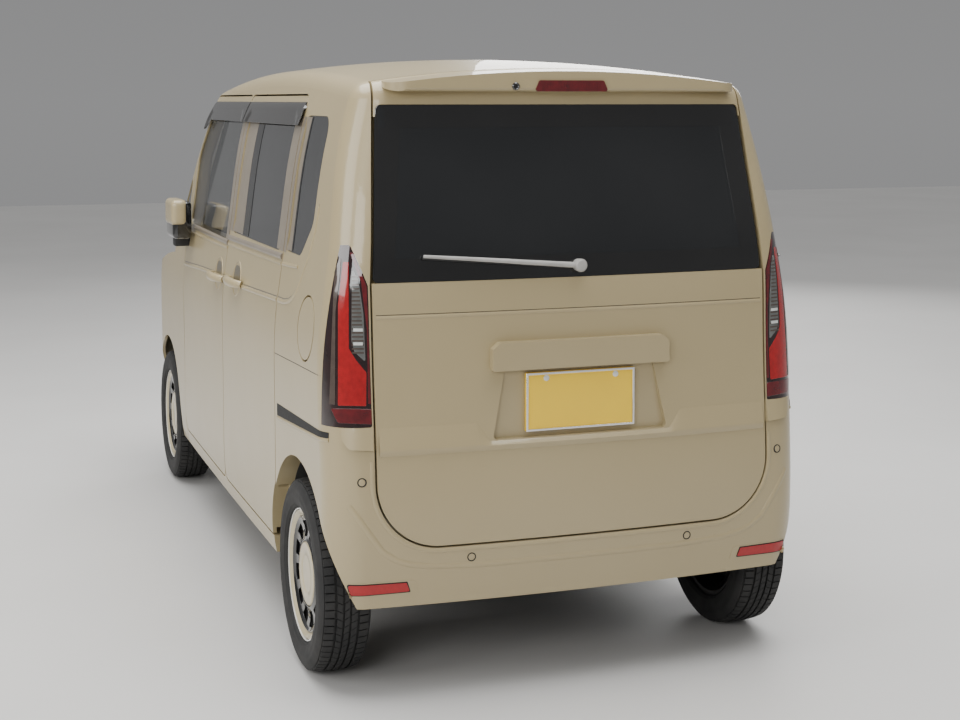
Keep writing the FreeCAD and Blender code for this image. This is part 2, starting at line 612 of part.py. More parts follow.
# Radiator support: the bonnet's lock bar and a low bar on two uprights, between the side frames.
lock_top = mm.lock_bar_bottom + mm.lock_bar_height
lock_bar = box(apron_front - mm.bar_depth, apron_front, -apron_in, apron_in, mm.lock_bar_bottom, lock_top)
low_bar = box(apron_front - mm.bar_depth, apron_front, -rail_in, rail_in, mm.rail_bottom, mm.rail_bottom + 60)
striker = Part.makeCylinder(15, 300, Vector(apron_front - 20, 0, lock_top), UP)
striker = striker.common(nose(mm.bonnet_thickness + mm.seat_gap))
upright = box(apron_front - 30, apron_front - 8, rail_in - 45, rail_in - 15, mm.rail_bottom + 60,
              mm.lock_bar_bottom)
support = lock_bar.fuse([low_bar, striker, upright, mirrored(upright)])
feature("radiator_support", support.removeSplitter())


def boxed(label, x_low, y_low, z_low, length, width, height):
    """A block whose place and sizes are expressions on the sheet."""
    block = doc.addObject("Part::Box", label)
    for name, expression in (("Length", length), ("Width", width), ("Height", height),
                             ("Placement.Base.x", x_low), ("Placement.Base.y", y_low),
                             ("Placement.Base.z", z_low)):
        block.setExpression(name, expression)
    return block


axle_cell = "(sizes.overall_length / 2 - sizes.front_overhang)"
rear_cell = f"({axle_cell} - sizes.wheelbase)"
keep("engine_block", boxed(
    "engine_block", f"{axle_cell} - 140", "-sizes.engine_width / 2", "sizes.engine_bottom",
    "sizes.engine_length", "sizes.engine_width", "sizes.engine_height"))
tank = boxed("tank_block", "-sizes.tank_length - 150", "-sizes.tank_width / 2 - 60",
             "sizes.floor_height - sizes.tank_height", "sizes.tank_length", "sizes.tank_width",
             "sizes.tank_height")
doc.recompute()
tank_edges = [(number + 1, 20, 20) for number in range(12)]
tank_round = doc.addObject("Part::Fillet", "fuel_tank")
tank_round.Base = tank
tank_round.Edges = tank_edges
keep("fuel_tank", tank_round)


def sketched(body, role, corners):
    """A closed outline of straight lines whose corners are expressions on the sheet."""
    sketch = body.newObject("Sketcher::SketchObject", body.Name + "_outline")
    plane = [face for face in body.Origin.OriginFeatures if face.Role == role][0]
    sketch.AttachmentSupport = [(plane, "")]
    sketch.MapMode = "FlatFace"
    spots = [Vector(float(sheet.evalExpression(a)), float(sheet.evalExpression(b)), 0) for a, b in corners]
    for index, spot in enumerate(spots):
        sketch.addGeometry(Part.LineSegment(spot, spots[(index + 1) % len(spots)]), False)
    for index in range(len(spots)):
        following = (index + 1) % len(spots)
        sketch.addConstraint(Sketcher.Constraint("Coincident", index, 2, following, 1))
    for index, (a, b) in enumerate(corners):
        for kind, value, expression in (("DistanceX", spots[index].x, a), ("DistanceY", spots[index].y, b)):
            number = sketch.addConstraint(Sketcher.Constraint(kind, -1, 1, index, 1, value))
            sketch.setExpression(f"Constraints[{number}]", expression)
    return sketch


def turned(label, corners):
    """A body turned about its own Y axis from an outline of (y, radius) corners."""
    body = doc.addObject("PartDesign::Body", label)
    sketch = sketched(body, "YZ_Plane", corners)
    spin = body.newObject("PartDesign::Revolution", label + "_turn")
    spin.Profile = sketch
    spin.ReferenceAxis = (sketch, ["H_Axis"])
    spin.Angle = 360
    return body


def padded(label, role, corners, width):
    """A body padded both ways from an outline on one of its own planes."""
    body = doc.addObject("PartDesign::Body", label)
    sketch = sketched(body, role, corners)
    pad = body.newObject("PartDesign::Pad", label + "_pad")
    pad.Profile = sketch
    pad.SideType = "Symmetric"
    pad.setExpression("Length", width)
    return body


# Tyres and wheels, each made at its own centre with the outer side towards +Y.
BEAD_SIDE = "(sizes.rim_width / 2 - 5 - sizes.seat_gap)"
TYRE_OUTLINE = (
    (f"-{BEAD_SIDE}", "sizes.bead_radius + sizes.seat_gap"),
    (f"-{BEAD_SIDE}", "sizes.flange_radius + 3"),
    ("-sizes.tyre_width / 2 + 3", "sizes.flange_radius + 14"),
    ("-sizes.tyre_width / 2", "sizes.bead_radius + 48"),
    ("-sizes.tyre_width / 2 + 6", "sizes.tyre_radius - 22"),
    ("-sizes.tyre_width / 2 + 20", "sizes.tyre_radius - 5"),
    ("-sizes.tyre_width / 2 + 34", "sizes.tyre_radius"),
    ("sizes.tyre_width / 2 - 34", "sizes.tyre_radius"),
    ("sizes.tyre_width / 2 - 20", "sizes.tyre_radius - 5"),
    ("sizes.tyre_width / 2 - 6", "sizes.tyre_radius - 22"),
    ("sizes.tyre_width / 2", "sizes.bead_radius + 48"),
    ("sizes.tyre_width / 2 - 3", "sizes.flange_radius + 14"),
    (BEAD_SIDE, "sizes.flange_radius + 3"),
    (BEAD_SIDE, "sizes.bead_radius + sizes.seat_gap"),
)
WHEEL_OUTLINE = (
    ("-sizes.rim_width / 2", "sizes.flange_radius"),
    ("-sizes.rim_width / 2 + 5", "sizes.flange_radius"),
    ("-sizes.rim_width / 2 + 5", "sizes.bead_radius"),
    ("sizes.rim_width / 2 - 5", "sizes.bead_radius"),
    ("sizes.rim_width / 2 - 5", "sizes.flange_radius"),
    ("sizes.rim_width / 2", "sizes.flange_radius"),
    ("sizes.rim_width / 2 - 2", "sizes.bead_radius - 14"),
    ("sizes.rim_width / 2 - 16", "sizes.bead_radius - 40"),
    ("sizes.rim_width / 2 - 10", "sizes.hub_radius + 6"),
    ("sizes.rim_width / 2 - 8", "sizes.hub_radius - 12"),
    ("sizes.rim_width / 2 - 12", "sizes.axle_radius * 2"),
    ("sizes.rim_width / 2 - 12", "0"),
    ("sizes.rim_width / 2 - 12 - sizes.disc_depth", "0"),
    ("sizes.rim_width / 2 - 12 - sizes.disc_depth", "sizes.hub_radius - 22"),
    ("sizes.rim_width / 2 - 26", "sizes.hub_radius"),
    ("sizes.rim_width / 2 - 28", "sizes.bead_radius - 30"),
    ("sizes.rim_width / 2 - 22", "sizes.bead_radius - 8"),
    ("-sizes.rim_width / 2", "sizes.bead_radius - 8"),
)
for place, cell, hand in (("front_left", axle_cell, 1), ("front_right", axle_cell, -1),
                          ("rear_left", rear_cell, 1), ("rear_right", rear_cell, -1)):
    for kind, corners in (("tyre", TYRE_OUTLINE), ("wheel", WHEEL_OUTLINE)):
        body = turned(f"{kind}_{place}", corners)
        if kind == "wheel":
            doc.recompute()
            tool = body.newObject("Sketcher::SketchObject", body.Name + "_slot")
            plane = [face for face in body.Origin.OriginFeatures if face.Role == "XZ_Plane"][0]
            tool.AttachmentSupport = [(plane, "")]
            tool.MapMode = "FlatFace"
            slot_middle = (mm.hub_radius + mm.bead_radius) / 2 - 4
            tool.addGeometry(Part.Circle(Vector(0, slot_middle, 0), UP, mm.slot_radius), False)
            number = tool.addConstraint(Sketcher.Constraint("DistanceY", -1, 1, 0, 3, slot_middle))
            tool.setExpression(f"Constraints[{number}]", "(sizes.hub_radius + sizes.bead_radius) / 2 - 4")
            tool.addConstraint(Sketcher.Constraint("DistanceX", -1, 1, 0, 3, 0))
            number = tool.addConstraint(Sketcher.Constraint("Radius", 0, mm.slot_radius))
            tool.setExpression(f"Constraints[{number}]", "sizes.slot_radius")
            pocket = body.newObject("PartDesign::Pocket", body.Name + "_hole")
            pocket.Profile = tool
            pocket.SideType = "Symmetric"
            pocket.Length = 400
            ring = body.newObject("PartDesign::PolarPattern", body.Name + "_slots")
            ring.Originals = [pocket]
            ring.Axis = (tool, ["N_Axis"])
            ring.Angle = 360
            ring.setExpression("Occurrences", "sizes.wheel_slots")
            body.Tip = ring
        if hand < 0:
            body.Placement = FreeCAD.Placement(Vector(0, 0, 0), Rotation(UP, 180))
        body.setExpression("Placement.Base.x", cell)
        body.setExpression("Placement.Base.y", f"{hand} * sizes.track / 2")
        body.setExpression("Placement.Base.z", "sizes.tyre_radius")
        keep(f"{kind}_{place}", body)


# Knuckles: an upright at the hub, a ball joint below and the strut along the steering axis.
half_track = mm.track / 2
lean = Vector(0, mm.kingpin_top - mm.kingpin_ground, mm.kingpin_height)
lean_unit = lean * (1 / lean.Length)


def kingpin(level):
    """A point of the left steering axis at a height above the ground."""
    share = level / mm.kingpin_height
    return Vector(front_axle, mm.kingpin_ground + (mm.kingpin_top - mm.kingpin_ground) * share, level)


joint_low = kingpin(mm.ball_joint_height)
hub_inner = half_track + mm.rim_width / 2 - 12 - mm.disc_depth
strut_top = kingpin(mm.tower_roof + 34)
knuckle = Part.makeCylinder(30, hub_inner - mm.seat_gap - 560, Vector(front_axle, 560, mm.tyre_radius), LEFT)
upright = Part.makeCylinder(24, 280, joint_low, lean_unit)
strut = Part.makeCylinder(mm.strut_radius, (strut_top - kingpin(420)).Length, kingpin(420), lean_unit)
collar = Part.makeSphere(30, joint_low)
knuckle = knuckle.fuse([upright, strut, collar]).removeSplitter()
feature("knuckle_left", knuckle)
feature("knuckle_right", mirrored(knuckle))

arm_top = mm.ball_joint_height - 36
arm_bottom = arm_top - 20
arm = slab("plan", outline("plan", (
    (front_axle - 150, 330, 20), (front_axle + 60, 330, 20), (front_axle + 26, joint_low.y, 20),
    (front_axle - 26, joint_low.y, 20), (front_axle - 46, 480, 60))), arm_bottom, arm_top)
seat = Part.makeCylinder(14, 6 - mm.seat_gap, Vector(front_axle, joint_low.y - 4, arm_top), UP)
cross = box(front_axle - 160, front_axle + 70, -345, 345, arm_top, arm_top + 50)
post = box(front_axle - 150, front_axle - 90, 315, 375, arm_top + 50, mm.rail_bottom)
posts = [post, mirrored(post)]
rack = cylinder_y(24, front_axle - 120, arm_top + 66, -330, 330)
subframe = cross.fuse([arm, mirrored(arm), seat, mirrored(seat), rack] + posts)
feature("front_subframe", subframe.removeSplitter())


# Rear axle: hubs on a cross beam, trailing arms, springs and dampers.
beam_z = mm.tyre_radius - 15
spindle = cylinder_y(26, rear_axle, mm.tyre_radius, 430, hub_inner - mm.seat_gap)
drum = cylinder_y(105, rear_axle, mm.tyre_radius, half_track - 62, half_track - 12)
beam = cylinder_y(mm.beam_radius, rear_axle + 60, beam_z, -500, 500)
arm_rear = box(rear_axle - 40, rear_axle + mm.arm_length, 400, 445, beam_z - 30, beam_z + 30)
pivot = cylinder_y(36, rear_axle + mm.arm_length, beam_z, 385, 460)
hanger = box(rear_axle + mm.arm_length - 25, rear_axle + mm.arm_length + 25, 400, 445, beam_z,
             load_top - thick)
spring_foot = Vector(rear_axle + 60, 420, beam_z)
spring = Part.makeCylinder(mm.spring_radius, load_top - thick - beam_z, spring_foot, UP)
damper = Part.makeCylinder(20, load_top - thick - beam_z, Vector(rear_axle - 60, 440, beam_z), UP)
damper_foot = box(rear_axle - 85, rear_axle - 30, 415, 460, beam_z - 30, beam_z + 30)
half_axle = [spindle, drum, arm_rear, pivot, hanger, spring, damper, damper_foot]
axle = beam.fuse(half_axle + [mirrored(piece) for piece in half_axle])
feature("rear_axle", axle.removeSplitter())


# Exhaust: silencer behind the axle, pipe forward under the floor.
pipe_z = mm.floor_height - mm.pipe_radius - 14
path_spots = (
    (front_axle - 160, mm.pipe_side - 60, mm.engine_bottom + 60), (front_axle - 330, mm.pipe_side, pipe_z),
    (-760, mm.pipe_side, pipe_z), (-960, 300, 215), (-1120, 300, 350), (-1430, 300, 385))
spots = [Vector(*spot) for spot in path_spots]
pipe = bent_tube(spots, mm.pipe_radius, 60)
silencer = Part.makeCylinder(75, 560, Vector(-1500, -180, 385), LEFT)
outlet = bent_tube([Vector(-1500, -120, 360), Vector(-1585, -120, 350), Vector(-1640, -120, 320)], 20, 40)
hangers = [box(-1510, -1490, y - 10, y + 10, 400, load_top - thick) for y in (-100, 300)]
tray = [box(x - 10, x + 10, mm.pipe_side - 10, mm.pipe_side + 10, pipe_z, mm.floor_height) for x in (700, -500)]
exhaust = pipe.fuse([silencer, outlet] + hangers + tray)
feature("exhaust", exhaust.removeSplitter())


# Interior.
SEAT_OUTLINE = (
    ("250", "0"), ("-230", "0"), ("-300", "150"), ("-500", "sizes.seat_height + 80"),
    ("-500", "sizes.seat_height + 340"), ("-400", "sizes.seat_height + 340"),
    ("-400", "sizes.seat_height + 130"), ("-190", "270"), ("250", "250"),
)
seat_body = padded("seat_cushion", "XZ_Plane", SEAT_OUTLINE, "sizes.seat_width")
seat_body.setExpression("Placement.Base.x", "180")
seat_body.setExpression("Placement.Base.y", "sizes.seat_offset")
seat_body.setExpression("Placement.Base.z", "sizes.floor_height + sizes.floor_thickness + sizes.seat_gap")
seat_twin = doc.addObject("Part::Mirroring", "seat_twin")
seat_twin.Source = seat_body
seat_twin.Normal = LEFT
both_seats = doc.addObject("Part::Compound", "front_seats")
both_seats.Links = [seat_body, seat_twin]
keep("front_seats", both_seats)
BENCH_OUTLINE = (
    ("200", "0"), ("-130", "0"), ("-200", "70"), ("-200", "302.3"), ("-290", "302.3"),
    ("-420", "850"), ("-320", "860"), ("-230", "420"), ("200", "400"),
)
bench = padded("rear_seat", "XZ_Plane", BENCH_OUTLINE, "sizes.rear_seat_width")
bench.setExpression("Placement.Base.x", "-sizes.kick_back + 202")
bench.setExpression("Placement.Base.z", "sizes.floor_height + sizes.floor_thickness + sizes.seat_gap")
keep("rear_seat", bench)
DASH_OUTLINE = (
    ("0", "-60"), ("0", "260"), ("-190", "250"), ("-260", "200"), ("-270", "60"), ("-150", "-20"),
)
dash = padded("dashboard", "XZ_Plane", DASH_OUTLINE, "2 * sizes.seat_offset + 560")
dash.setExpression("Placement.Base.x", "sizes.firewall_forward - sizes.seat_gap")
dash.setExpression("Placement.Base.z", "sizes.belt_height - 430")
keep("dashboard", dash)
helm_centre = Vector(mm.firewall_forward - 400, -mm.seat_offset, 1000)
helm_axis = Vector(-0.88, 0, 0.47)
rim_ring = Part.makeTorus(mm.helm_radius, mm.helm_rim, helm_centre, helm_axis)
boss = Part.makeCylinder(55, 40, helm_centre - helm_axis * 20, helm_axis)
column_foot = helm_centre - helm_axis * 155
column = Part.makeCylinder(24, 150, column_foot, helm_axis)
spokes = []
for angle in (0, 180, 270):
    spoke = Part.makeBox(mm.helm_radius, 30, 14, Vector(0, -15, -7))
    turn = Rotation(UP, helm_axis).multiply(Rotation(UP, angle + 90))
    spoke.Placement = FreeCAD.Placement(helm_centre, turn)
    spokes.append(spoke)
helm = rim_ring.fuse([boss, column] + spokes)
feature("steering_wheel", helm.removeSplitter())


# Trim that stands off the body: folded mirrors, wipers, plates and the high lamp.
mirror_level = mm.mirror_height
mirror_back = mm.mirror_front - mm.mirror_length
head_face = outline("side", (
    (mirror_back, mirror_level - 45, 40), (mm.mirror_front, mirror_level - 52, 30),
    (mm.mirror_front, mirror_level + 88, 45), (mirror_back, mirror_level + 112, 55)))
head_plan = outline("plan", (
    (mirror_back, mm.mirror_in, 12), (mm.mirror_front, mm.mirror_in, 12),
    (mm.mirror_front, mm.mirror_reach - 14, 40), (mirror_back, mm.mirror_reach, 30)))
head = slab("side", head_face, mm.mirror_in, mm.mirror_reach).common(slab("plan", head_plan, 1000, 1400))
foot = box(mm.mirror_front - 62, mm.mirror_front - 12, 640, mm.mirror_reach - 28, mirror_level - 90,
           mirror_level - 30)
foot = foot.cut(cabin(0))
mirror_left = head.fuse(foot)
mirror_left = max(mirror_left.Solids, key=lambda solid: solid.Volume)
feature("mirror_left", mirror_left)
feature("mirror_right", mirrored(mirror_left))

rear_wiper_pivot = Vector(tail_x + 36, 0, 1189)
arm_end = Vector(tail_x + 30, 454, 1226)
wiper_arm = Part.makeCylinder(7, (arm_end - rear_wiper_pivot).Length, rear_wiper_pivot, arm_end - rear_wiper_pivot)
blade = Part.makeCylinder(6, 330, Vector(tail_x + 36, 134, 1193), arm_end - rear_wiper_pivot)
wiper_hub = Part.makeCylinder(17, 40, rear_wiper_pivot - FORWARD * 10, FORWARD)
wiper_hub = wiper_hub.cut(cabin(mm.pane_depth))
feature("rear_wiper", wiper_arm.fuse([blade, wiper_hub]).removeSplitter())

screen_out = Vector(1, 0, mm.screen_slope)
screen_out = screen_out * (1 / screen_out.Length)
wipers = []
for pivot_y, tip_y, rise in ((430, -110, 130), (-230, -600, 90)):
    foot_spot = Vector(screen_x(1040) - pivot_y ** 2 / (2 * SCREEN_RADIUS), pivot_y, 1040)
    tip_level = 1040 + rise
    tip = Vector(screen_x(tip_level) - tip_y ** 2 / (2 * SCREEN_RADIUS), tip_y, tip_level)
    foot_spot = foot_spot + screen_out * 26
    tip = tip + screen_out * 26
    stem = Part.makeCylinder(7, (tip - foot_spot).Length, foot_spot, tip - foot_spot)
    socket = Part.makeCylinder(15, 60, foot_spot - screen_out * 40, screen_out).cut(cabin(0))
    wipers.append(stem.fuse(socket).removeSplitter())
feature("front_wipers", Part.makeCompound([solid for wiper in wipers for solid in wiper.Solids]))

plate_low = mm.plate_centre_height - mm.plate_height / 2
rear_plate = box(recess_floor - mm.seat_gap - 14, recess_floor - mm.seat_gap, -mm.plate_width / 2,
                 mm.plate_width / 2, plate_low, plate_low + mm.plate_height)
rear_plate = rear_plate.makeFillet(4, rear_plate.Edges)
for cutter in plate_holes:
    rear_plate = rear_plate.cut(cutter)
feature("rear_plate", rear_plate)
front_plate_x = nose_x - 0.5
front_plate = box(front_plate_x - mm.plate_thickness, front_plate_x, -mm.plate_width / 2, mm.plate_width / 2,
                  470, 470 + mm.plate_height)
feature("front_plate", front_plate)
high_lamp = slab("rear", outline("rear", (
    (-112, mm.spoiler_bottom + 2, 6), (112, mm.spoiler_bottom + 2, 6), (98, 1707, 6), (-98, 1707, 6))),
    -mm.spoiler_reach - 4, -mm.spoiler_reach - mm.seat_gap)
feature("high_mount_lamp", high_lamp)


doc.recompute()
for part in doc.Objects:
    if "Invalid" in part.State or "Error" in part.State:
        raise RuntimeError(f"{part.Label} failed: {part.State}")
for label, part in nodes.items():
    if part.Shape.isNull() or not part.Shape.isValid():
        raise RuntimeError(f"{label} has no valid shape")
os.makedirs("parts", exist_ok=True)
for label, part in nodes.items():
    part.Shape.exportStep(os.path.join("parts", f"{label}.step"))
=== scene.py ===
"""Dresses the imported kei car: finishes, lamps, trim, treaded tyres, glazing and cabin.

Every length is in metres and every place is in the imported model's frame: +X forward,
+Y to the car's left, +Z up, with the origin on the ground below the middle of the car.
"""
from __future__ import annotations

import json
import logging
import math
from collections.abc import Callable, Iterable, Sequence
from dataclasses import dataclass
from enum import Enum

import bmesh
import bpy
from mathutils import Matrix, Vector
from mathutils.bvhtree import BVHTree

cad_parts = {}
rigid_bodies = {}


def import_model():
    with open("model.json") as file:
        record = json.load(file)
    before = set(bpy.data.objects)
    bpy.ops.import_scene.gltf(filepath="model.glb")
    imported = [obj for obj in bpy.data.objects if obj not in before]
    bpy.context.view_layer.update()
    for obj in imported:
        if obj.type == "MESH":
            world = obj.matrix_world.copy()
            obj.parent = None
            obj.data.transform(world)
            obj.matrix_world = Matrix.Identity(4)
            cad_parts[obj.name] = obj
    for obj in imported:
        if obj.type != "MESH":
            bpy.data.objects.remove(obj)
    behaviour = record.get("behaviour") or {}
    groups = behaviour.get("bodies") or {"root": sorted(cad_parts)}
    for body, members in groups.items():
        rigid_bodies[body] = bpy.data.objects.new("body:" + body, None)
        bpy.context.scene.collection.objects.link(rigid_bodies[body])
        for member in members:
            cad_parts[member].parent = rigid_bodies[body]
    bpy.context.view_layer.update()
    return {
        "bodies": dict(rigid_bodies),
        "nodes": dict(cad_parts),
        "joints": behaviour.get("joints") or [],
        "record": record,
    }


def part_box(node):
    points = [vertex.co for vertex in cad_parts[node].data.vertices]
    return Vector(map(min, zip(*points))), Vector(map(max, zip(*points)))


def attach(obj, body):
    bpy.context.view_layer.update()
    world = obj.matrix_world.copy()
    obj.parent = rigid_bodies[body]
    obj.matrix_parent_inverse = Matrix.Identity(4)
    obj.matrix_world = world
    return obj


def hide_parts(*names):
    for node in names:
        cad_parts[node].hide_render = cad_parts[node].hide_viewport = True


LOG = logging.getLogger("kei_car")
Colour = tuple[float, float, float]
Corner = tuple[float, float, float]
Corners = Sequence[Corner]


class Hand(Enum):
    """The side of the car that a piece is on."""

    LEFT = 1
    RIGHT = -1

    @property
    def word(self) -> str:
        """The side's name as it stands in the names of nodes."""
        return self.name.lower()


class Facing(Enum):
    """The way an outline is laid on the car: the start of its rays and their direction."""

    BACK = "back"
    FRONT = "front"
    SIDE = "side"
    INSIDE = "inside"
    BELOW = "below"
    PHOTO = "photo"


class Surface(Enum):
    """How a finish's fine relief is drawn."""

    PEEL = "orange peel of sprayed paint"
    GRAIN = "grain of moulded plastic"
    WEAVE = "threads of woven cloth"
    BRUSHED = "lines of drawn metal"
    CAST = "pits of cast metal"
    SMOOTH = "polished"


@dataclass(frozen=True)
class Finish:
    """One procedural finish and its real-scale detail.

    Attributes:
        name: Name of the material.
        colour: Main colour in linear values.
        second: Colour that the main one drifts towards in patches.
        roughness: Lowest and highest roughness over the surface.
        metallic: How metallic the base is.
        coat: Weight of the clear coat.
        surface: Kind of fine relief.
        relief: Height of the fine relief in metres.
        patch: Size of the colour patches in metres.
        alpha: How much of the surface is opaque.
        sheen: Weight of the soft sheen of cloth.
    """

    name: str
    colour: Colour
    second: Colour
    roughness: tuple[float, float] = (0.35, 0.5)
    metallic: float = 0.0
    coat: float = 0.0
    surface: Surface = Surface.SMOOTH
    relief: float = 0.0001
    patch: float = 0.25
    alpha: float = 1.0
    sheen: float = 0.0

    def material(self) -> bpy.types.Material:
        """Builds the finish once and returns its material.

        Returns:
            The material, shared by every piece with this finish.
        """
        known = bpy.data.materials.get("finish_" + self.name)
        if known is not None:
            return known
        material = bpy.data.materials.new("finish_" + self.name)
        material.use_nodes = True
        tree = material.node_tree
        shader = tree.nodes["Principled BSDF"]
        shader.inputs["Metallic"].default_value = self.metallic
        shader.inputs["Coat Weight"].default_value = self.coat
        shader.inputs["Coat Roughness"].default_value = 0.03
        shader.inputs["Alpha"].default_value = self.alpha
        shader.inputs["Sheen Weight"].default_value = self.sheen
        place = tree.nodes.new("ShaderNodeTexCoord")
        self._colour(tree, shader, place)
        self._roughness(tree, shader, place)
        self._relief(tree, shader, place)
        return material

    def _noise(self, tree: bpy.types.NodeTree, place: bpy.types.Node, size: float,
               detail: float = 4.0) -> bpy.types.Node:
        """Adds a noise texture whose features are about one size.

        Args:
            tree: Node tree of the material.
            place: Texture coordinate node.
            size: Size of a feature in metres.
            detail: Number of finer layers.

        Returns:
            The noise node.
        """
        noise = tree.nodes.new("ShaderNodeTexNoise")
        noise.inputs["Scale"].default_value = 1.0 / size
        noise.inputs["Detail"].default_value = detail
        tree.links.new(place.outputs["Object"], noise.inputs["Vector"])
        return noise

    def _colour(self, tree: bpy.types.NodeTree, shader: bpy.types.Node, place: bpy.types.Node) -> None:
        """Lets the colour drift in patches between the two colours."""
        noise = self._noise(tree, place, self.patch)
        ramp = tree.nodes.new("ShaderNodeValToRGB")
        ramp.color_ramp.elements[0].position = 0.35
        ramp.color_ramp.elements[0].color = (*self.colour, 1.0)
        ramp.color_ramp.elements[1].position = 0.75
        ramp.color_ramp.elements[1].color = (*self.second, 1.0)
        tree.links.new(noise.outputs["Fac"], ramp.inputs["Fac"])
        tree.links.new(ramp.outputs["Color"], shader.inputs["Base Color"])

    def _roughness(self, tree: bpy.types.NodeTree, shader: bpy.types.Node, place: bpy.types.Node) -> None:
        """Varies the roughness over the surface."""
        noise = self._noise(tree, place, self.patch * 0.3)
        spread = tree.nodes.new("ShaderNodeMapRange")
        spread.inputs["To Min"].default_value = self.roughness[0]
        spread.inputs["To Max"].default_value = self.roughness[1]
        tree.links.new(noise.outputs["Fac"], spread.inputs["Value"])
        tree.links.new(spread.outputs["Result"], shader.inputs["Roughness"])

    def _relief(self, tree: bpy.types.NodeTree, shader: bpy.types.Node, place: bpy.types.Node) -> None:
        """Adds the fine relief as a bump whose height is a real one."""
        height = {
            Surface.PEEL: self._peel, Surface.GRAIN: self._grain, Surface.WEAVE: self._weave,
            Surface.BRUSHED: self._brushed, Surface.CAST: self._cast, Surface.SMOOTH: self._peel,
        }[self.surface](tree, place)
        bump = tree.nodes.new("ShaderNodeBump")
        bump.inputs["Strength"].default_value = 0.15 if self.surface is Surface.SMOOTH else 0.6
        bump.inputs["Distance"].default_value = self.relief
        tree.links.new(height, bump.inputs["Height"])
        tree.links.new(bump.outputs["Normal"], shader.inputs["Normal"])

    def _peel(self, tree: bpy.types.NodeTree, place: bpy.types.Node) -> bpy.types.NodeSocket:
        """Height of sprayed paint: soft waves about six millimetres long."""
        return self._noise(tree, place, 0.006, 1.0).outputs["Fac"]

    def _grain(self, tree: bpy.types.NodeTree, place: bpy.types.Node) -> bpy.types.NodeSocket:
        """Height of moulded plastic: leather-like cells just over a millimetre wide."""
        cells = tree.nodes.new("ShaderNodeTexVoronoi")
        cells.inputs["Scale"].default_value = 1.0 / 0.0014
        tree.links.new(place.outputs["Object"], cells.inputs["Vector"])
        return cells.outputs["Distance"]

    def _cast(self, tree: bpy.types.NodeTree, place: bpy.types.Node) -> bpy.types.NodeSocket:
        """Height of cast metal: fine pits over broader waves."""
        return self._noise(tree, place, 0.004, 8.0).outputs["Fac"]

    def _brushed(self, tree: bpy.types.NodeTree, place: bpy.types.Node) -> bpy.types.NodeSocket:
        """Height of drawn metal: noise stretched along the piece."""
        stretch = tree.nodes.new("ShaderNodeMapping")
        stretch.inputs["Scale"].default_value = (30.0, 900.0, 900.0)
        noise = tree.nodes.new("ShaderNodeTexNoise")
        noise.inputs["Scale"].default_value = 1.0
        tree.links.new(place.outputs["Object"], stretch.inputs["Vector"])
        tree.links.new(stretch.outputs["Vector"], noise.inputs["Vector"])
        return noise.outputs["Fac"]

    def _weave(self, tree: bpy.types.NodeTree, place: bpy.types.Node) -> bpy.types.NodeSocket:
        """Height of woven cloth: two sets of threads, two millimetres apart."""
        threads = []
        for direction in ("X", "Y", "Z"):
            wave = tree.nodes.new("ShaderNodeTexWave")
            wave.bands_direction = direction
            wave.inputs["Scale"].default_value = 160.0
            wave.inputs["Distortion"].default_value = 0.8
            tree.links.new(place.outputs["Object"], wave.inputs["Vector"])
            threads.append(wave)
        first = tree.nodes.new("ShaderNodeMath")
        first.operation = "MULTIPLY"
        tree.links.new(threads[0].outputs["Fac"], first.inputs[0])
        tree.links.new(threads[1].outputs["Fac"], first.inputs[1])
        both = tree.nodes.new("ShaderNodeMath")
        both.operation = "ADD"
        tree.links.new(first.outputs[0], both.inputs[0])
        tree.links.new(threads[2].outputs["Fac"], both.inputs[1])
        return both.outputs[0]


PAINT = Finish("beige_paint", (0.370, 0.300, 0.165), (0.385, 0.315, 0.178), (0.30, 0.38), coat=0.45,
               surface=Surface.PEEL, relief=0.00006, patch=0.6)
WHEEL_CREAM = Finish("cream_wheel_paint", (0.50, 0.43, 0.27), (0.46, 0.39, 0.24), (0.28, 0.38), coat=0.8,
                     surface=Surface.PEEL, relief=0.00005, patch=0.08)
RIM_LINE = Finish("bright_rim_line", (0.86, 0.85, 0.80), (0.80, 0.79, 0.74), (0.12, 0.2), coat=0.6,
                  patch=0.05)
DARK_GLASS = Finish("privacy_glass", (0.006, 0.007, 0.008), (0.010, 0.011, 0.012), (0.0, 0.03), coat=1.0,
                    patch=0.4, alpha=0.86)
DOOR_GLASS = Finish("door_glass", (0.012, 0.016, 0.015), (0.018, 0.022, 0.021), (0.0, 0.03), coat=1.0,
                    patch=0.4, alpha=0.42)
CLEAR_GLASS = Finish("windscreen_glass", (0.020, 0.028, 0.025), (0.026, 0.034, 0.030), (0.0, 0.03), coat=1.0,
                     patch=0.5, alpha=0.28)
FRIT = Finish("black_glass_border", (0.004, 0.004, 0.004), (0.006, 0.006, 0.006), (0.03, 0.08), coat=1.0,
              patch=0.2)
VISOR = Finish("smoked_visor", (0.010, 0.009, 0.008), (0.018, 0.016, 0.014), (0.02, 0.08), coat=1.0, patch=0.2,
               alpha=0.90)
GLOSS_BLACK = Finish("gloss_black", (0.004, 0.004, 0.004), (0.007, 0.007, 0.007), (0.08, 0.16), coat=1.0,
                     surface=Surface.PEEL, relief=0.00003, patch=0.1)
TRIM = Finish("black_trim", (0.010, 0.010, 0.011), (0.020, 0.020, 0.020), (0.45, 0.62), surface=Surface.GRAIN,
              relief=0.00012, patch=0.06)
# Black rubber for the wiper blades, seams and sensor rings; also painted shade for the tailgate's ledge line, the
# rims round the reflectors and the rail slot.
SEAL_AND_SHADE = Finish("rubber_seal", (0.006, 0.006, 0.006), (0.012, 0.012, 0.012), (0.6, 0.75), surface=Surface.GRAIN,
              relief=0.00008, patch=0.03)
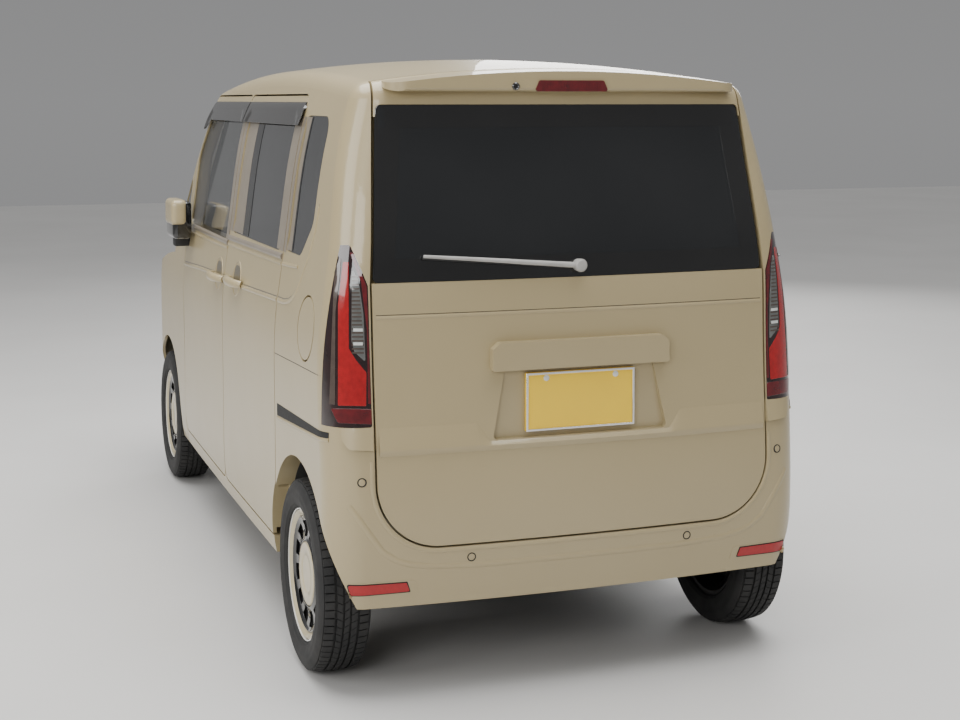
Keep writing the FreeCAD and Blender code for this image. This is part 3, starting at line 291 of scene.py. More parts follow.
# Painted reflection: the frames and sill mouldings are body-coloured; this taupe tone paints in their darker
# reflection of the surroundings at a grazing angle.
FRAME_REFLECTION = Finish("taupe_window_frame", (0.190, 0.160, 0.120), (0.230, 0.195, 0.150), (0.26, 0.38), coat=0.4,
               surface=Surface.PEEL, patch=0.15)
BAND = Finish("black_pillar_band", (0.006, 0.006, 0.006), (0.010, 0.010, 0.010), (0.18, 0.28), coat=0.4,
              surface=Surface.PEEL, patch=0.15)
# Painted shade: a dark tone that stands for the shade in the handle cups' upper hollows and in the groove of the
# character line.
RECESS_SHADE = Finish("handle_cup_shade", (0.105, 0.090, 0.062), (0.130, 0.112, 0.078), (0.30, 0.42), coat=0.4,
             surface=Surface.PEEL, patch=0.05)
CHROME = Finish("chrome", (0.86, 0.86, 0.85), (0.80, 0.80, 0.79), (0.04, 0.10), metallic=1.0, patch=0.06)
LAMP_HOUSING = Finish("lamp_housing", (0.010, 0.003, 0.003), (0.020, 0.004, 0.004), (0.03, 0.08), coat=1.0,
                      patch=0.04)
LAMP_RED = Finish("lamp_red", (0.36, 0.004, 0.006), (0.26, 0.003, 0.004), (0.08, 0.16), coat=1.0, patch=0.015,
                  surface=Surface.CAST, relief=0.0003)
LAMP_DEEP = Finish("lamp_deep_red", (0.120, 0.006, 0.009), (0.07, 0.004, 0.006), (0.06, 0.12), coat=1.0,
                   patch=0.02)
LAMP_SMOKE = Finish("lamp_smoke", (0.060, 0.043, 0.035), (0.085, 0.062, 0.050), (0.05, 0.12), coat=1.0,
                    patch=0.03)
LAMP_GREY = Finish("lamp_grey_lens", (0.105, 0.110, 0.105), (0.16, 0.165, 0.155), (0.05, 0.15), coat=1.0,
                   patch=0.02)
LAMP_WHITE = Finish("lamp_white_bar", (0.62, 0.64, 0.62), (0.55, 0.57, 0.55), (0.1, 0.2), coat=1.0,
                    patch=0.02)
HEAD_LENS = Finish("headlamp_lens", (0.55, 0.58, 0.60), (0.60, 0.63, 0.65), (0.0, 0.03), coat=1.0, patch=0.2,
                   alpha=0.16)
REFLECTOR_RED = Finish("reflector_red", (0.32, 0.004, 0.006), (0.38, 0.006, 0.008), (0.30, 0.40), coat=0.2,
                       surface=Surface.CAST, relief=0.0003, patch=0.01)
AMBER = Finish("amber_lens", (0.60, 0.20, 0.02), (0.50, 0.16, 0.02), (0.1, 0.16), coat=1.0, patch=0.02)
RUBBER = Finish("tyre_rubber", (0.010, 0.010, 0.010), (0.022, 0.021, 0.020), (0.62, 0.85), surface=Surface.CAST,
                relief=0.0004, patch=0.09)
PLATE = Finish("plate_yellow", (0.88, 0.58, 0.035), (0.84, 0.55, 0.04), (0.35, 0.45), surface=Surface.PEEL,
               relief=0.0001, patch=0.12)
CLOTH = Finish("seat_cloth", (0.060, 0.055, 0.050), (0.085, 0.078, 0.070), (0.85, 0.95), surface=Surface.WEAVE,
               relief=0.0006, patch=0.1, sheen=0.35)
DASH = Finish("dashboard_plastic", (0.050, 0.047, 0.044), (0.064, 0.060, 0.056), (0.55, 0.7),
              surface=Surface.GRAIN, relief=0.0002, patch=0.2)
LINER = Finish("light_lining", (0.42, 0.40, 0.36), (0.46, 0.44, 0.40), (0.85, 0.95), surface=Surface.WEAVE,
               relief=0.0003, patch=0.3)
DOOR_CARD = Finish("door_card", (0.080, 0.074, 0.066), (0.100, 0.093, 0.082), (0.6, 0.75),
                   surface=Surface.GRAIN, relief=0.0002, patch=0.2)
UNDERCOAT = Finish("undercoat", (0.012, 0.012, 0.013), (0.028, 0.026, 0.024), (0.6, 0.9), surface=Surface.CAST,
                   relief=0.0008, patch=0.12)
CHASSIS = Finish("chassis_black", (0.018, 0.018, 0.019), (0.040, 0.034, 0.030), (0.4, 0.6),
                 surface=Surface.CAST, relief=0.0004, patch=0.08)
ALUMINIUM = Finish("cast_aluminium", (0.34, 0.34, 0.35), (0.26, 0.26, 0.27), (0.4, 0.6), metallic=0.9,
                   surface=Surface.CAST, relief=0.0008, patch=0.1)
EXHAUST = Finish("exhaust_steel", (0.36, 0.33, 0.29), (0.24, 0.20, 0.17), (0.3, 0.5), metallic=1.0,
                 surface=Surface.BRUSHED, relief=0.0002, patch=0.15)
TANK = Finish("tank_plastic", (0.014, 0.014, 0.015), (0.024, 0.023, 0.022), (0.5, 0.7), surface=Surface.GRAIN,
              relief=0.0004, patch=0.15)
WIPER_GREY = Finish("wiper_grey", (0.40, 0.39, 0.37), (0.34, 0.33, 0.31), (0.3, 0.42), surface=Surface.GRAIN,
                    relief=0.0001, patch=0.05)
SCREEN = Finish("display_glass", (0.006, 0.008, 0.010), (0.010, 0.013, 0.016), (0.03, 0.08), coat=1.0,
                patch=0.1)

CARRIED: dict[str, Finish] = {
    "body_paint": PAINT, "under_paint": UNDERCOAT, "glass_dark": DARK_GLASS, "glass_clear": CLEAR_GLASS,
    "lamp_red": LAMP_HOUSING, "lamp_clear": HEAD_LENS, "black_trim": TRIM, "grille_black": GLOSS_BLACK,
    "seat_cloth": CLOTH, "dash_plastic": DASH, "engine_metal": ALUMINIUM, "chassis_steel": CHASSIS,
    "exhaust_steel": EXHAUST, "tank_plastic": TANK, "wheel_paint": WHEEL_CREAM, "tyre_rubber": RUBBER,
    "plate_yellow": PLATE, "wiper_grey": WIPER_GREY,
}


@dataclass(frozen=True)
class PhotoCamera:
    """The photograph's camera, solved from the plate, the track and the wheels.

    Attributes:
        place: Where the camera stands.
        heading: Angle from +X towards +Y in degrees.
        tilt: Angle above the horizon in degrees.
        focal: Focal length in pixels of the photograph.
        centre: Pixel that the optical axis passes through.
        frame: Width and height of the photograph in pixels.
    """

    place: tuple[float, float, float] = (-5.7356, 1.7326, 1.6518)
    heading: float = -19.427
    tilt: float = -4.5
    focal: float = 1587.2
    centre: tuple[float, float] = (480.0, 225.0)
    frame: tuple[float, float] = (960.0, 720.0)

    @property
    def forward(self) -> Vector:
        """Unit vector along the optical axis."""
        turn, rise = math.radians(self.heading), math.radians(self.tilt)
        return Vector((math.cos(rise) * math.cos(turn), math.cos(rise) * math.sin(turn), math.sin(rise)))

    def ray(self, u: float, v: float) -> tuple[Vector, Vector]:
        """The ray through a pixel.

        Args:
            u: Pixel across, from the left.
            v: Pixel down, from the top.

        Returns:
            The camera's place and the ray's unit direction.
        """
        forward = self.forward
        right = forward.cross(Vector((0.0, 0.0, 1.0))).normalized()
        up = right.cross(forward)
        way = forward * self.focal + right * (u - self.centre[0]) - up * (v - self.centre[1])
        return Vector(self.place), way.normalized()

    def build(self) -> bpy.types.Object:
        """Makes the scene's camera.

        Returns:
            The camera object.
        """
        data = bpy.data.cameras.new("photo_camera")
        data.sensor_width = 36.0
        data.lens = self.focal / self.frame[0] * data.sensor_width
        data.shift_x = (self.frame[0] / 2 - self.centre[0]) / self.frame[0]
        data.shift_y = (self.centre[1] - self.frame[1] / 2) / self.frame[0]
        data.clip_end = 100.0
        camera = bpy.data.objects.new("photo_camera", data)
        camera.location = self.place
        camera.rotation_euler = self.forward.to_track_quat("-Z", "Y").to_euler()
        bpy.context.scene.collection.objects.link(camera)
        bpy.context.scene.camera = camera
        return camera


CAMERA = PhotoCamera()


def rounded(corners: Corners, steps: int = 5) -> list[Vector]:
    """Turns corners with radii into the points of an outline.

    Args:
        corners: Rows of two coordinates and a corner radius.
        steps: Points along each rounded corner, less one.

    Returns:
        The points of the closed outline, flat.
    """
    spots = [Vector((a, b)) for a, b, _ in corners]
    points = []
    for index, (_, _, radius) in enumerate(corners):
        spot = spots[index]
        back = (spots[index - 1] - spot).normalized()
        ahead = (spots[(index + 1) % len(spots)] - spot).normalized()
        half = math.acos(max(-1.0, min(1.0, back.dot(ahead)))) / 2
        if radius <= 0.0 or half > 1.56:
            points.append(spot)
            continue
        middle = spot + (back + ahead).normalized() * (radius / math.sin(half))
        start = spot + back * (radius / math.tan(half)) - middle
        end = spot + ahead * (radius / math.tan(half)) - middle
        turn = start.angle_signed(end)
        for step in range(steps + 1):
            points.append(middle + Matrix.Rotation(-turn * step / steps, 2) @ start)
    return points


class Skin:
    """The faces of some CAD nodes, reached by straight rays."""

    NEAR_RANGE = 1.3
    PHOTO_RANGE = 4.3
    STARTS = {
        Facing.BACK: lambda a, b: (Vector((-3.0, a, b)), Vector((1.0, 0.0, 0.0))),
        Facing.FRONT: lambda a, b: (Vector((3.0, a, b)), Vector((-1.0, 0.0, 0.0))),
        Facing.SIDE: lambda a, b: (Vector((a, 2.0, b)), Vector((0.0, -1.0, 0.0))),
        Facing.INSIDE: lambda a, b: (Vector((a, 0.2, b)), Vector((0.0, 1.0, 0.0))),
        Facing.BELOW: lambda a, b: (Vector((a, b, 1.3)), Vector((0.0, 0.0, 1.0))),
        Facing.PHOTO: CAMERA.ray,
    }

    def __init__(self, *names: str) -> None:
        """Gathers the faces.

        Args:
            names: CAD nodes whose faces the rays may meet.
        """
        points: list[Vector] = []
        faces: list[list[int]] = []
        for name in names:
            mesh = bpy.data.objects[name].data
            base = len(points)
            points += [vertex.co.copy() for vertex in mesh.vertices]
            faces += [[base + corner for corner in face.vertices] for face in mesh.polygons]
        self.tree = BVHTree.FromPolygons(points, faces)

    def meet(self, facing: Facing, a: float, b: float) -> tuple[Vector, Vector]:
        """Finds where a ray meets the skin.

        Args:
            facing: The way the ray comes.
            a: First coordinate of the ray's start.
            b: Second coordinate of the ray's start.

        Returns:
            The place and the surface's normal there.
        """
        start, way = self.STARTS[facing](a, b)
        spot, normal, _, _ = self.tree.ray_cast(start, way)
        if spot is None:
            guess = start + way * (self.PHOTO_RANGE if facing is Facing.PHOTO else self.NEAR_RANGE)
            spot, normal, _, _ = self.tree.find_nearest(guess)
            spot = start + way * (spot - start).dot(way)
        if normal.dot(way) > 0:
            normal = -normal
        return spot, normal

    def line(self, facing: Facing, start: tuple[float, float], end: tuple[float, float], steps: int,
             stand: Callable[[float], float]) -> list[Vector]:
        """Points that stand off the skin between two places.

        Args:
            facing: The way the rays come.
            start: First place in the facing's two coordinates.
            end: Last place.
            steps: Number of points, less one.
            stand: Distance off the skin over the share of the way.

        Returns:
            The points in order.
        """
        spots = []
        for step in range(steps + 1):
            share = step / steps
            spot, normal = self.meet(facing, start[0] + (end[0] - start[0]) * share,
                                     start[1] + (end[1] - start[1]) * share)
            spots.append(spot + normal * stand(share))
        return spots


def mirror(mesh: bmesh.types.BMesh) -> bmesh.types.BMesh:
    """Copies a mesh to the other side of the car.

    Args:
        mesh: The mesh to copy.

    Returns:
        The mirrored copy.
    """
    twin = mesh.copy()
    for vertex in twin.verts:
        vertex.co.y = -vertex.co.y
    bmesh.ops.reverse_faces(twin, faces=twin.faces)
    return twin


def joined(meshes: Iterable[bmesh.types.BMesh]) -> bmesh.types.BMesh:
    """Puts several meshes into one.

    Args:
        meshes: The meshes, which are freed.

    Returns:
        The joined mesh.
    """
    whole = bmesh.new()
    for mesh in meshes:
        holder = bpy.data.meshes.new("holder")
        mesh.to_mesh(holder)
        mesh.free()
        whole.from_mesh(holder)
        bpy.data.meshes.remove(holder)
    return whole


def both(mesh: bmesh.types.BMesh) -> bmesh.types.BMesh:
    """Joins a mesh and its mirror image on the other side, and frees it."""
    return joined([mesh, mirror(mesh)])


def patch(skin: Skin, facing: Facing, corners: Corners, lift: float, thick: float, cell: float = 0.02,
          height: Callable[[float, float], float] | None = None) -> bmesh.types.BMesh:
    """Lays a flat outline on the skin as a thin plate that follows it.

    Args:
        skin: What the plate lies on.
        facing: The way the outline is laid.
        corners: The outline's corners with their radii.
        lift: How far the plate's face stands off the skin.
        thick: The plate's thickness, measured back into the skin.
        cell: Largest size of its faces.
        height: Extra lift over the outline's two coordinates.

    Returns:
        The plate as a closed mesh.
    """
    mesh = bmesh.new()
    rim = [mesh.verts.new((point.x, point.y, 0.0)) for point in rounded(corners)]
    mesh.faces.new(rim)
    for axis in (0, 1):
        values = [vertex.co[axis] for vertex in rim]
        low, high = min(values), max(values)
        count = max(2, math.ceil((high - low) / cell))
        normal = Vector((1.0, 0.0, 0.0)) if axis == 0 else Vector((0.0, 1.0, 0.0))
        for step in range(1, count):
            where = normal * (low + (high - low) * step / count)
            geometry = mesh.verts[:] + mesh.edges[:] + mesh.faces[:]
            bmesh.ops.bisect_plane(mesh, geom=geometry, plane_co=where, plane_no=normal, dist=1e-6)
    away: dict[bmesh.types.BMVert, Vector] = {}
    for vertex in mesh.verts:
        a, b = vertex.co.x, vertex.co.y
        spot, normal = skin.meet(facing, a, b)
        extra = height(a, b) if height else 0.0
        away[vertex] = normal
        vertex.co = spot + normal * (lift + extra)
    front = mesh.faces[:]
    backs = {vertex: mesh.verts.new(vertex.co - away[vertex] * thick) for vertex in list(away)}
    for face in front:
        mesh.faces.new([backs[vertex] for vertex in reversed(face.verts[:])])
    for edge in [edge for edge in mesh.edges if len(edge.link_faces) == 1 and edge.verts[0] in backs]:
        one, two = edge.verts
        loop = edge.link_loops[0]
        if loop.vert is not one:
            one, two = two, one
        mesh.faces.new([two, one, backs[one], backs[two]])
    bmesh.ops.recalc_face_normals(mesh, faces=mesh.faces)
    return mesh


def ribbon(skin: Skin, facing: Facing, path: Sequence[tuple[float, float]], width: float,
           height: float, sink: float = 0.001, step: float = 0.02) -> bmesh.types.BMesh:
    """Lays a low half-round bead along a path on the skin.

    Args:
        skin: What the bead lies on.
        facing: The way the path is laid.
        path: Points of the path in the facing's two coordinates.
        width: Width of the bead.
        height: How far its crest stands off the skin.
        sink: How far its edges lie in the skin.
        step: Distance between its sections.

    Returns:
        The bead as a mesh.
    """
    spots, normals = [], []
    for (a0, b0), (a1, b1) in zip(path, path[1:]):
        count = max(1, math.ceil(math.hypot(a1 - a0, b1 - b0) / step))
        for index in range(count + (1 if (a1, b1) == tuple(path[-1]) else 0)):
            share = index / count
            spot, normal = skin.meet(facing, a0 + (a1 - a0) * share, b0 + (b1 - b0) * share)
            spots.append(spot)
            normals.append(normal)
    mesh = bmesh.new()
    sides = 6
    rows = []
    for index, spot in enumerate(spots):
        ahead = spots[min(index + 1, len(spots) - 1)] - spots[max(index - 1, 0)]
        across = normals[index].cross(ahead).normalized()
        row = []
        for side in range(sides + 1):
            angle = math.pi * side / sides
            reach = across * (math.cos(angle) * width / 2)
            rise = normals[index] * (math.sin(angle) * (height + sink) - sink)
            row.append(mesh.verts.new(spot + reach + rise))
        rows.append(row)
    for one, two in zip(rows, rows[1:]):
        for side in range(sides):
            mesh.faces.new([one[side], one[side + 1], two[side + 1], two[side]])
        mesh.faces.new([one[sides], one[0], two[0], two[sides]])
    mesh.faces.new(rows[0])
    mesh.faces.new(list(reversed(rows[-1])))
    bmesh.ops.recalc_face_normals(mesh, faces=mesh.faces)
    return mesh


def turned(profile: Sequence[tuple[float, float]], segments: int = 96,
           closed: bool = True) -> bmesh.types.BMesh:
    """Turns a profile about the Y axis.

    Args:
        profile: Points as distance along Y and radius.
        segments: Sections round the axis.
        closed: Whether the profile's end joins its start.

    Returns:
        The turned mesh, centred on the origin.
    """
    mesh = bmesh.new()
    rows = []
    for section in range(segments):
        angle = math.tau * section / segments
        rows.append([mesh.verts.new((radius * math.sin(angle), y, radius * math.cos(angle)))
                     for y, radius in profile])
    last = len(profile) if closed else len(profile) - 1
    for section, row in enumerate(rows):
        following = rows[(section + 1) % segments]
        for index in range(last):
            beside = (index + 1) % len(profile)
            mesh.faces.new([row[index], row[beside], following[beside], following[index]])
    bmesh.ops.remove_doubles(mesh, verts=mesh.verts, dist=1e-6)
    bmesh.ops.dissolve_degenerate(mesh, dist=1e-7, edges=mesh.edges)
    bmesh.ops.recalc_face_normals(mesh, faces=mesh.faces)
    return mesh


def placed(mesh: bmesh.types.BMesh, spot: Vector, axis: Vector) -> bmesh.types.BMesh:
    """Moves a turned mesh to its place.

    Args:
        mesh: The turned mesh, centred on the origin.
        spot: Where its origin goes.
        axis: Direction that its Y axis takes.

    Returns:
        The same mesh.
    """
    turn = Vector((0.0, 1.0, 0.0)).rotation_difference(axis).to_matrix().to_4x4()
    bmesh.ops.transform(mesh, matrix=Matrix.Translation(spot) @ turn, verts=mesh.verts)
    return mesh


def rod(spots: Sequence[Vector], radius: float, sides: int = 10, taper: float = 1.0) -> bmesh.types.BMesh:
    """A round bar along a run of points.

    Args:
        spots: The points of its middle line.
        radius: Its radius at the start.
        sides: Faces round it.
        taper: Its radius at the end as a share of that at the start.

    Returns:
        The bar as a closed mesh.
    """
    mesh = bmesh.new()
    rows = []
    for index, spot in enumerate(spots):
        ahead = (spots[min(index + 1, len(spots) - 1)] - spots[max(index - 1, 0)]).normalized()
        guide = Vector((0.0, 0.0, 1.0)) if abs(ahead.z) < 0.9 else Vector((1.0, 0.0, 0.0))
        across = ahead.cross(guide).normalized()
        upward = across.cross(ahead)
        size = radius * (1 + (taper - 1) * index / (len(spots) - 1))
        rows.append([mesh.verts.new(spot + (across * math.cos(math.tau * side / sides)
                                            + upward * math.sin(math.tau * side / sides)) * size)
                     for side in range(sides)])
    for one, two in zip(rows, rows[1:]):
        for side in range(sides):
            beside = (side + 1) % sides
            mesh.faces.new([one[side], one[beside], two[beside], two[side]])
    mesh.faces.new(rows[0])
    mesh.faces.new(rows[-1])
    bmesh.ops.recalc_face_normals(mesh, faces=mesh.faces)
    return mesh


def block(low: Sequence[float], high: Sequence[float], bevel: float = 0.002,
          segments: int = 2) -> bmesh.types.BMesh:
    """A box with rounded edges between two corners.

    Args:
        low: Its lowest corner.
        high: Its highest corner.
        bevel: Radius of its edges.
        segments: Faces across each rounded edge.

    Returns:
        The box as a closed mesh.
    """
    mesh = bmesh.new()
    bmesh.ops.create_cube(mesh, size=1.0)
    middle = (Vector(low) + Vector(high)) / 2
    size = Vector(high) - Vector(low)
    for vertex in mesh.verts:
        vertex.co = Vector([middle[axis] + vertex.co[axis] * size[axis] for axis in range(3)])
    bmesh.ops.bevel(mesh, geom=mesh.edges[:], offset=bevel, segments=segments, profile=0.6, affect="EDGES")
    return mesh


def cushion(size: Vector, crown: float, edge: float, seams: Sequence[float] = (),
            cuts: int = 14) -> bmesh.types.BMesh:
    """A stuffed pad: crowned faces, soft edges and sides drawn in between its corners.

    Args:
        size: Its length, width and thickness.
        crown: How far its top swells.
        edge: Radius of its edges.
        seams: Places across its width where the cover is sewn down.
        cuts: Number of divisions along its longest side.

    Returns:
        The pad, centred on the origin with its top towards +Z.
    """
    mesh = bmesh.new()
    bmesh.ops.create_cube(mesh, size=2.0)
    bmesh.ops.subdivide_edges(mesh, edges=mesh.edges[:], cuts=cuts, use_grid_fill=True)
    half = size / 2
    core = Vector([max(side - edge, side * 0.2) for side in half])
    for vertex in mesh.verts:
        flat = Vector([vertex.co[axis] * half[axis] for axis in range(3)])
        inner = Vector([max(-core[axis], min(core[axis], flat[axis])) for axis in range(3)])
        out = flat - inner
        if out.length > 1e-9:
            flat = inner + out.normalized() * min(out.length, edge)
        along, across = flat.x / half.x, flat.y / half.y
        swell = (1 - along ** 2) * (1 - across ** 2)
        sunk = sum(math.exp(-((flat.y - seam) / 0.007) ** 2) for seam in seams)
        rise = crown * swell - 0.010 * min(sunk, 1.0) * (1 - along ** 4)
        if flat.z > 0:
            flat.z += rise
        pull = 1 - 0.025 * (1 - (flat.z / half.z) ** 2)
        flat.x *= pull * (1 - 0.015 * (1 - across ** 2))
        flat.y *= pull * (1 - 0.015 * (1 - along ** 2))
        vertex.co = flat
    return mesh


class Assembly:
    """Adds finished pieces to the car and reports them."""

    def add(self, name: str, mesh: bmesh.types.BMesh, finish: Finish, body: str, *, slot: str | None = None,
            replaces: Sequence[str] = (), bevel: float = 0.0, angle: float = 35.0,
            subdivide: int = 0) -> bpy.types.Object:
        """Makes one piece from its mesh.

        Args:
            name: The piece's name.
            mesh: Its mesh, which is freed.
            finish: Its finish.
            body: The CAD body that it rides on.
            slot: Not used.
            replaces: CAD nodes that it stands for.
            bevel: Radius of its sharp edges.
            angle: Edges sharper than this many degrees stay sharp.
            subdivide: Levels of smooth subdivision.

        Returns:
            The piece.
        """
        data = bpy.data.meshes.new(name)
        mesh.to_mesh(data)
        mesh.free()
        piece = bpy.data.objects.new(name, data)
        bpy.context.scene.collection.objects.link(piece)
        data.materials.append(finish.material())
        if bevel:
            rounding = piece.modifiers.new("edges", "BEVEL")
            rounding.width = bevel
            rounding.segments = 2
            rounding.limit_method = "ANGLE"
            rounding.angle_limit = math.radians(angle)
        if subdivide:
            levels = piece.modifiers.new("levels", "SUBSURF")
            levels.levels = subdivide
            levels.render_levels = subdivide
        data.shade_smooth()
        data.set_sharp_from_angle(angle=math.radians(angle))
        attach(piece, body)
        if replaces:
            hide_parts(*replaces)
        LOG.info("%s: %d faces on %s, %s", name, len(data.polygons), body, finish.name)
        return piece


@dataclass
class Studio:
    """The pale floor, the soft lights and the camera.

    Attributes:
        floor_size: Side of the square floor.
    """

    floor_size: float = 40.0

    def build(self) -> None:
        """Makes the floor, the lights, the sky and the camera."""
        CAMERA.build()
        self._floor()
        self._sky()
        self._light("overhead", (-0.5, 0.3, 5.5), (0.0, 0.0, 0.0), (7.0, 5.0), 640.0)
        self._light("left_side", (-2.5, 7.0, 3.4), (-0.3, 0.0, 0.8), (4.0, 3.0), 200.0)
        self._light("rear_left", (-7.0, 4.6, 3.4), (-1.2, 0.0, 0.8), (3.6, 2.4), 190.0)
        self._light("front_right", (6.5, -4.5, 3.4), (0.8, 0.0, 0.7), (4.0, 2.6), 180.0)

    def _floor(self) -> None:
        """Lays the floor with a faint mottle."""
        mesh = bpy.data.meshes.new("floor")
        half = self.floor_size / 2
        mesh.from_pydata([(-half, -half, 0), (half, -half, 0), (half, half, 0), (-half, half, 0)], [],
                         [(0, 1, 2, 3)])
        floor = bpy.data.objects.new("floor", mesh)
        finish = Finish("floor", (0.56, 0.55, 0.53), (0.60, 0.59, 0.57), (0.55, 0.65), patch=1.5)
        mesh.materials.append(finish.material())
        bpy.context.scene.collection.objects.link(floor)

    def _sky(self) -> None:
        """Fills the world with a soft gradient, pale above and darker at the horizon."""
        world = bpy.data.worlds.new("studio")
        world.use_nodes = True
        bpy.context.scene.world = world
        tree = world.node_tree
        sky = tree.nodes["Background"]
        place = tree.nodes.new("ShaderNodeTexCoord")
        split = tree.nodes.new("ShaderNodeSeparateXYZ")
        ramp = tree.nodes.new("ShaderNodeValToRGB")
        stops = ramp.color_ramp.elements
        stops[0].position = 0.0
        stops[0].color = (0.25, 0.25, 0.25, 1.0)
        stops[1].position = 1.0
        stops[1].color = (0.95, 0.97, 1.0, 1.0)
        for position, value in ((0.50, 0.36), (0.58, 0.32), (0.75, 0.42), (0.88, 0.80)):
            stop = stops.new(position)
            stop.color = (value, value, value * 1.01, 1.0)
        half = tree.nodes.new("ShaderNodeMapRange")
        half.inputs["From Min"].default_value = -1.0
        tree.links.new(place.outputs["Generated"], split.inputs["Vector"])
        tree.links.new(split.outputs["Z"], half.inputs["Value"])
        tree.links.new(half.outputs["Result"], ramp.inputs["Fac"])
        tree.links.new(ramp.outputs["Color"], sky.inputs["Color"])
        sky.inputs["Strength"].default_value = 0.8

    def _light(self, name: str, place: Sequence[float], target: Sequence[float],
               size: tuple[float, float], power: float) -> None:
        """Hangs one soft light that faces a point.

        Args:
            name: The light's name.
            place: Where it hangs.
            target: The point that it faces.
            size: Its width and height.
            power: Its power in watts.
        """
        data = bpy.data.lights.new(name, "AREA")
        data.shape = "RECTANGLE"
        data.size, data.size_y = size
        data.energy = power
        lamp = bpy.data.objects.new(name, data)
        lamp.location = place
        lamp.rotation_euler = (Vector(target) - Vector(place)).to_track_quat("-Z", "Y").to_euler()
        bpy.context.scene.collection.objects.link(lamp)


@dataclass
class CarriedNodes:
    """The CAD nodes that stay as they are and only get a finish."""

    def build(self, frame: dict) -> None:
        """Gives every CAD node its procedural finish.
        """
        special = {
            "door_glass_left": DOOR_GLASS, "door_glass_right": DOOR_GLASS, "high_mount_lamp": LAMP_DEEP,
            "grille": GLOSS_BLACK, "cowl_panel": TRIM,
        }
        slots = {row["node"]: row["material_slot"] for row in frame["record"]["subparts"]}
        for name, node in frame["nodes"].items():
            finish = special.get(name, CARRIED[slots[name]])
            node.data.materials[0] = finish.material()
        LOG.info("finished %d carried nodes", len(frame["nodes"]))


@dataclass
class TailLamps(Assembly):
    """The two tall lamps: housing, red bar, ribbed grey lens and smoked strip.

    The outlines are pixels of the photograph, laid on the CAD lamp from its camera.

    Attributes:
        lift: How far the lenses stand off the housing.
        thick: Thickness of each lens.
        rib_pitch: Distance between the ribs of the grey lens in pixels.
    """

    lift: float = 0.0012
    thick: float = 0.004
    rib_pitch: float = 4.0
    red_bar: Corners = (
        (343.0, 262.0, 0.5), (348.6, 262.0, 0.5), (348.9, 348.6, 4.0), (356.0, 360.0, 4.0), (366.4, 372.6, 3.0),
        (366.2, 406.2, 1.0), (338.0, 405.6, 1.0), (338.2, 304.0, 8.0))
    grey_lens: Corners = (
        (352.0, 267.6, 1.0), (358.4, 279.5, 3.0), (363.4, 314.0, 5.0), (365.4, 362.0, 1.0), (354.4, 352.0, 3.0),
        (351.4, 341.0, 3.0))
    smoke_strip: Corners = (
        (341.4, 254.0, 0.8), (340.0, 275.0, 3.0), (335.6, 312.0, 4.0), (335.2, 405.0, 1.0), (329.4, 404.0, 1.0),
        (332.6, 318.0, 4.0), (334.6, 272.0, 2.0))
    inner_strip: Corners = (
        (349.8, 252.6, 0.5), (352.8, 252.6, 0.5), (366.6, 286.4, 2.0), (371.0, 404.0, 0.8), (368.0, 404.0, 0.8),
        (366.8, 330.0, 4.0), (361.0, 282.0, 4.0))
    low_lens: Corners = (
        (330.6, 408.4, 1.0), (371.4, 409.2, 1.0), (371.9, 424.4, 1.0), (338.0, 423.2, 4.0))

    def build(self) -> None:
        """Lays every lens on the left lamp and mirrors it to the right one."""
        skin = Skin("tail_lamps")
        parts = (("red_bar", self.red_bar, LAMP_RED), ("grey_lens", self.grey_lens, LAMP_GREY),
                 ("smoke_strip", self.smoke_strip, LAMP_SMOKE), ("inner_strip", self.inner_strip, LAMP_DEEP),
                 ("low_lens", self.low_lens, LAMP_DEEP))
        for name, corners, finish in parts:
            plate = patch(skin, Facing.PHOTO, corners, self.lift, self.thick, cell=5.0)
            self.add("tail_" + name, both(plate), finish, "body", slot="lamp_red",
                     bevel=0.0006)
        self._ribs(skin)

    def _ribs(self, skin: Skin) -> None:
        """Adds the fine bars and the two white blocks of the grey lens."""
        bars = []
        top, foot, left = self.grey_lens[0][1], self.grey_lens[-2][1], 351.9
        for step in range(20):
            v = 276.0 + step * self.rib_pitch
            right = min(357.6 + 7.0 * (v - top) / (foot - top), 363.8)
            bar = patch(skin, Facing.PHOTO, ((left, v, 0.2), (right, v, 0.2), (right, v + 1.6, 0.2),
                        (left, v + 1.6, 0.2)), self.lift + 0.0012, 0.002, cell=6.0)
            bars.append(bar)
        whole = joined(bars)
        self.add("tail_lens_ribs", both(whole), LAMP_SMOKE, "body", slot="lamp_clear")
        blocks = []
        for v in (328.4, 342.2):
            blocks.append(patch(skin, Facing.PHOTO, ((353.4, v, 0.2), (362.6, v, 0.2), (362.6, v + 3.0, 0.2),
                          (353.4, v + 3.0, 0.2)), self.lift + 0.0022, 0.002, cell=6.0))
        whole = joined(blocks)
        self.add("tail_lens_blocks", both(whole), LAMP_WHITE, "body", slot="lamp_clear")


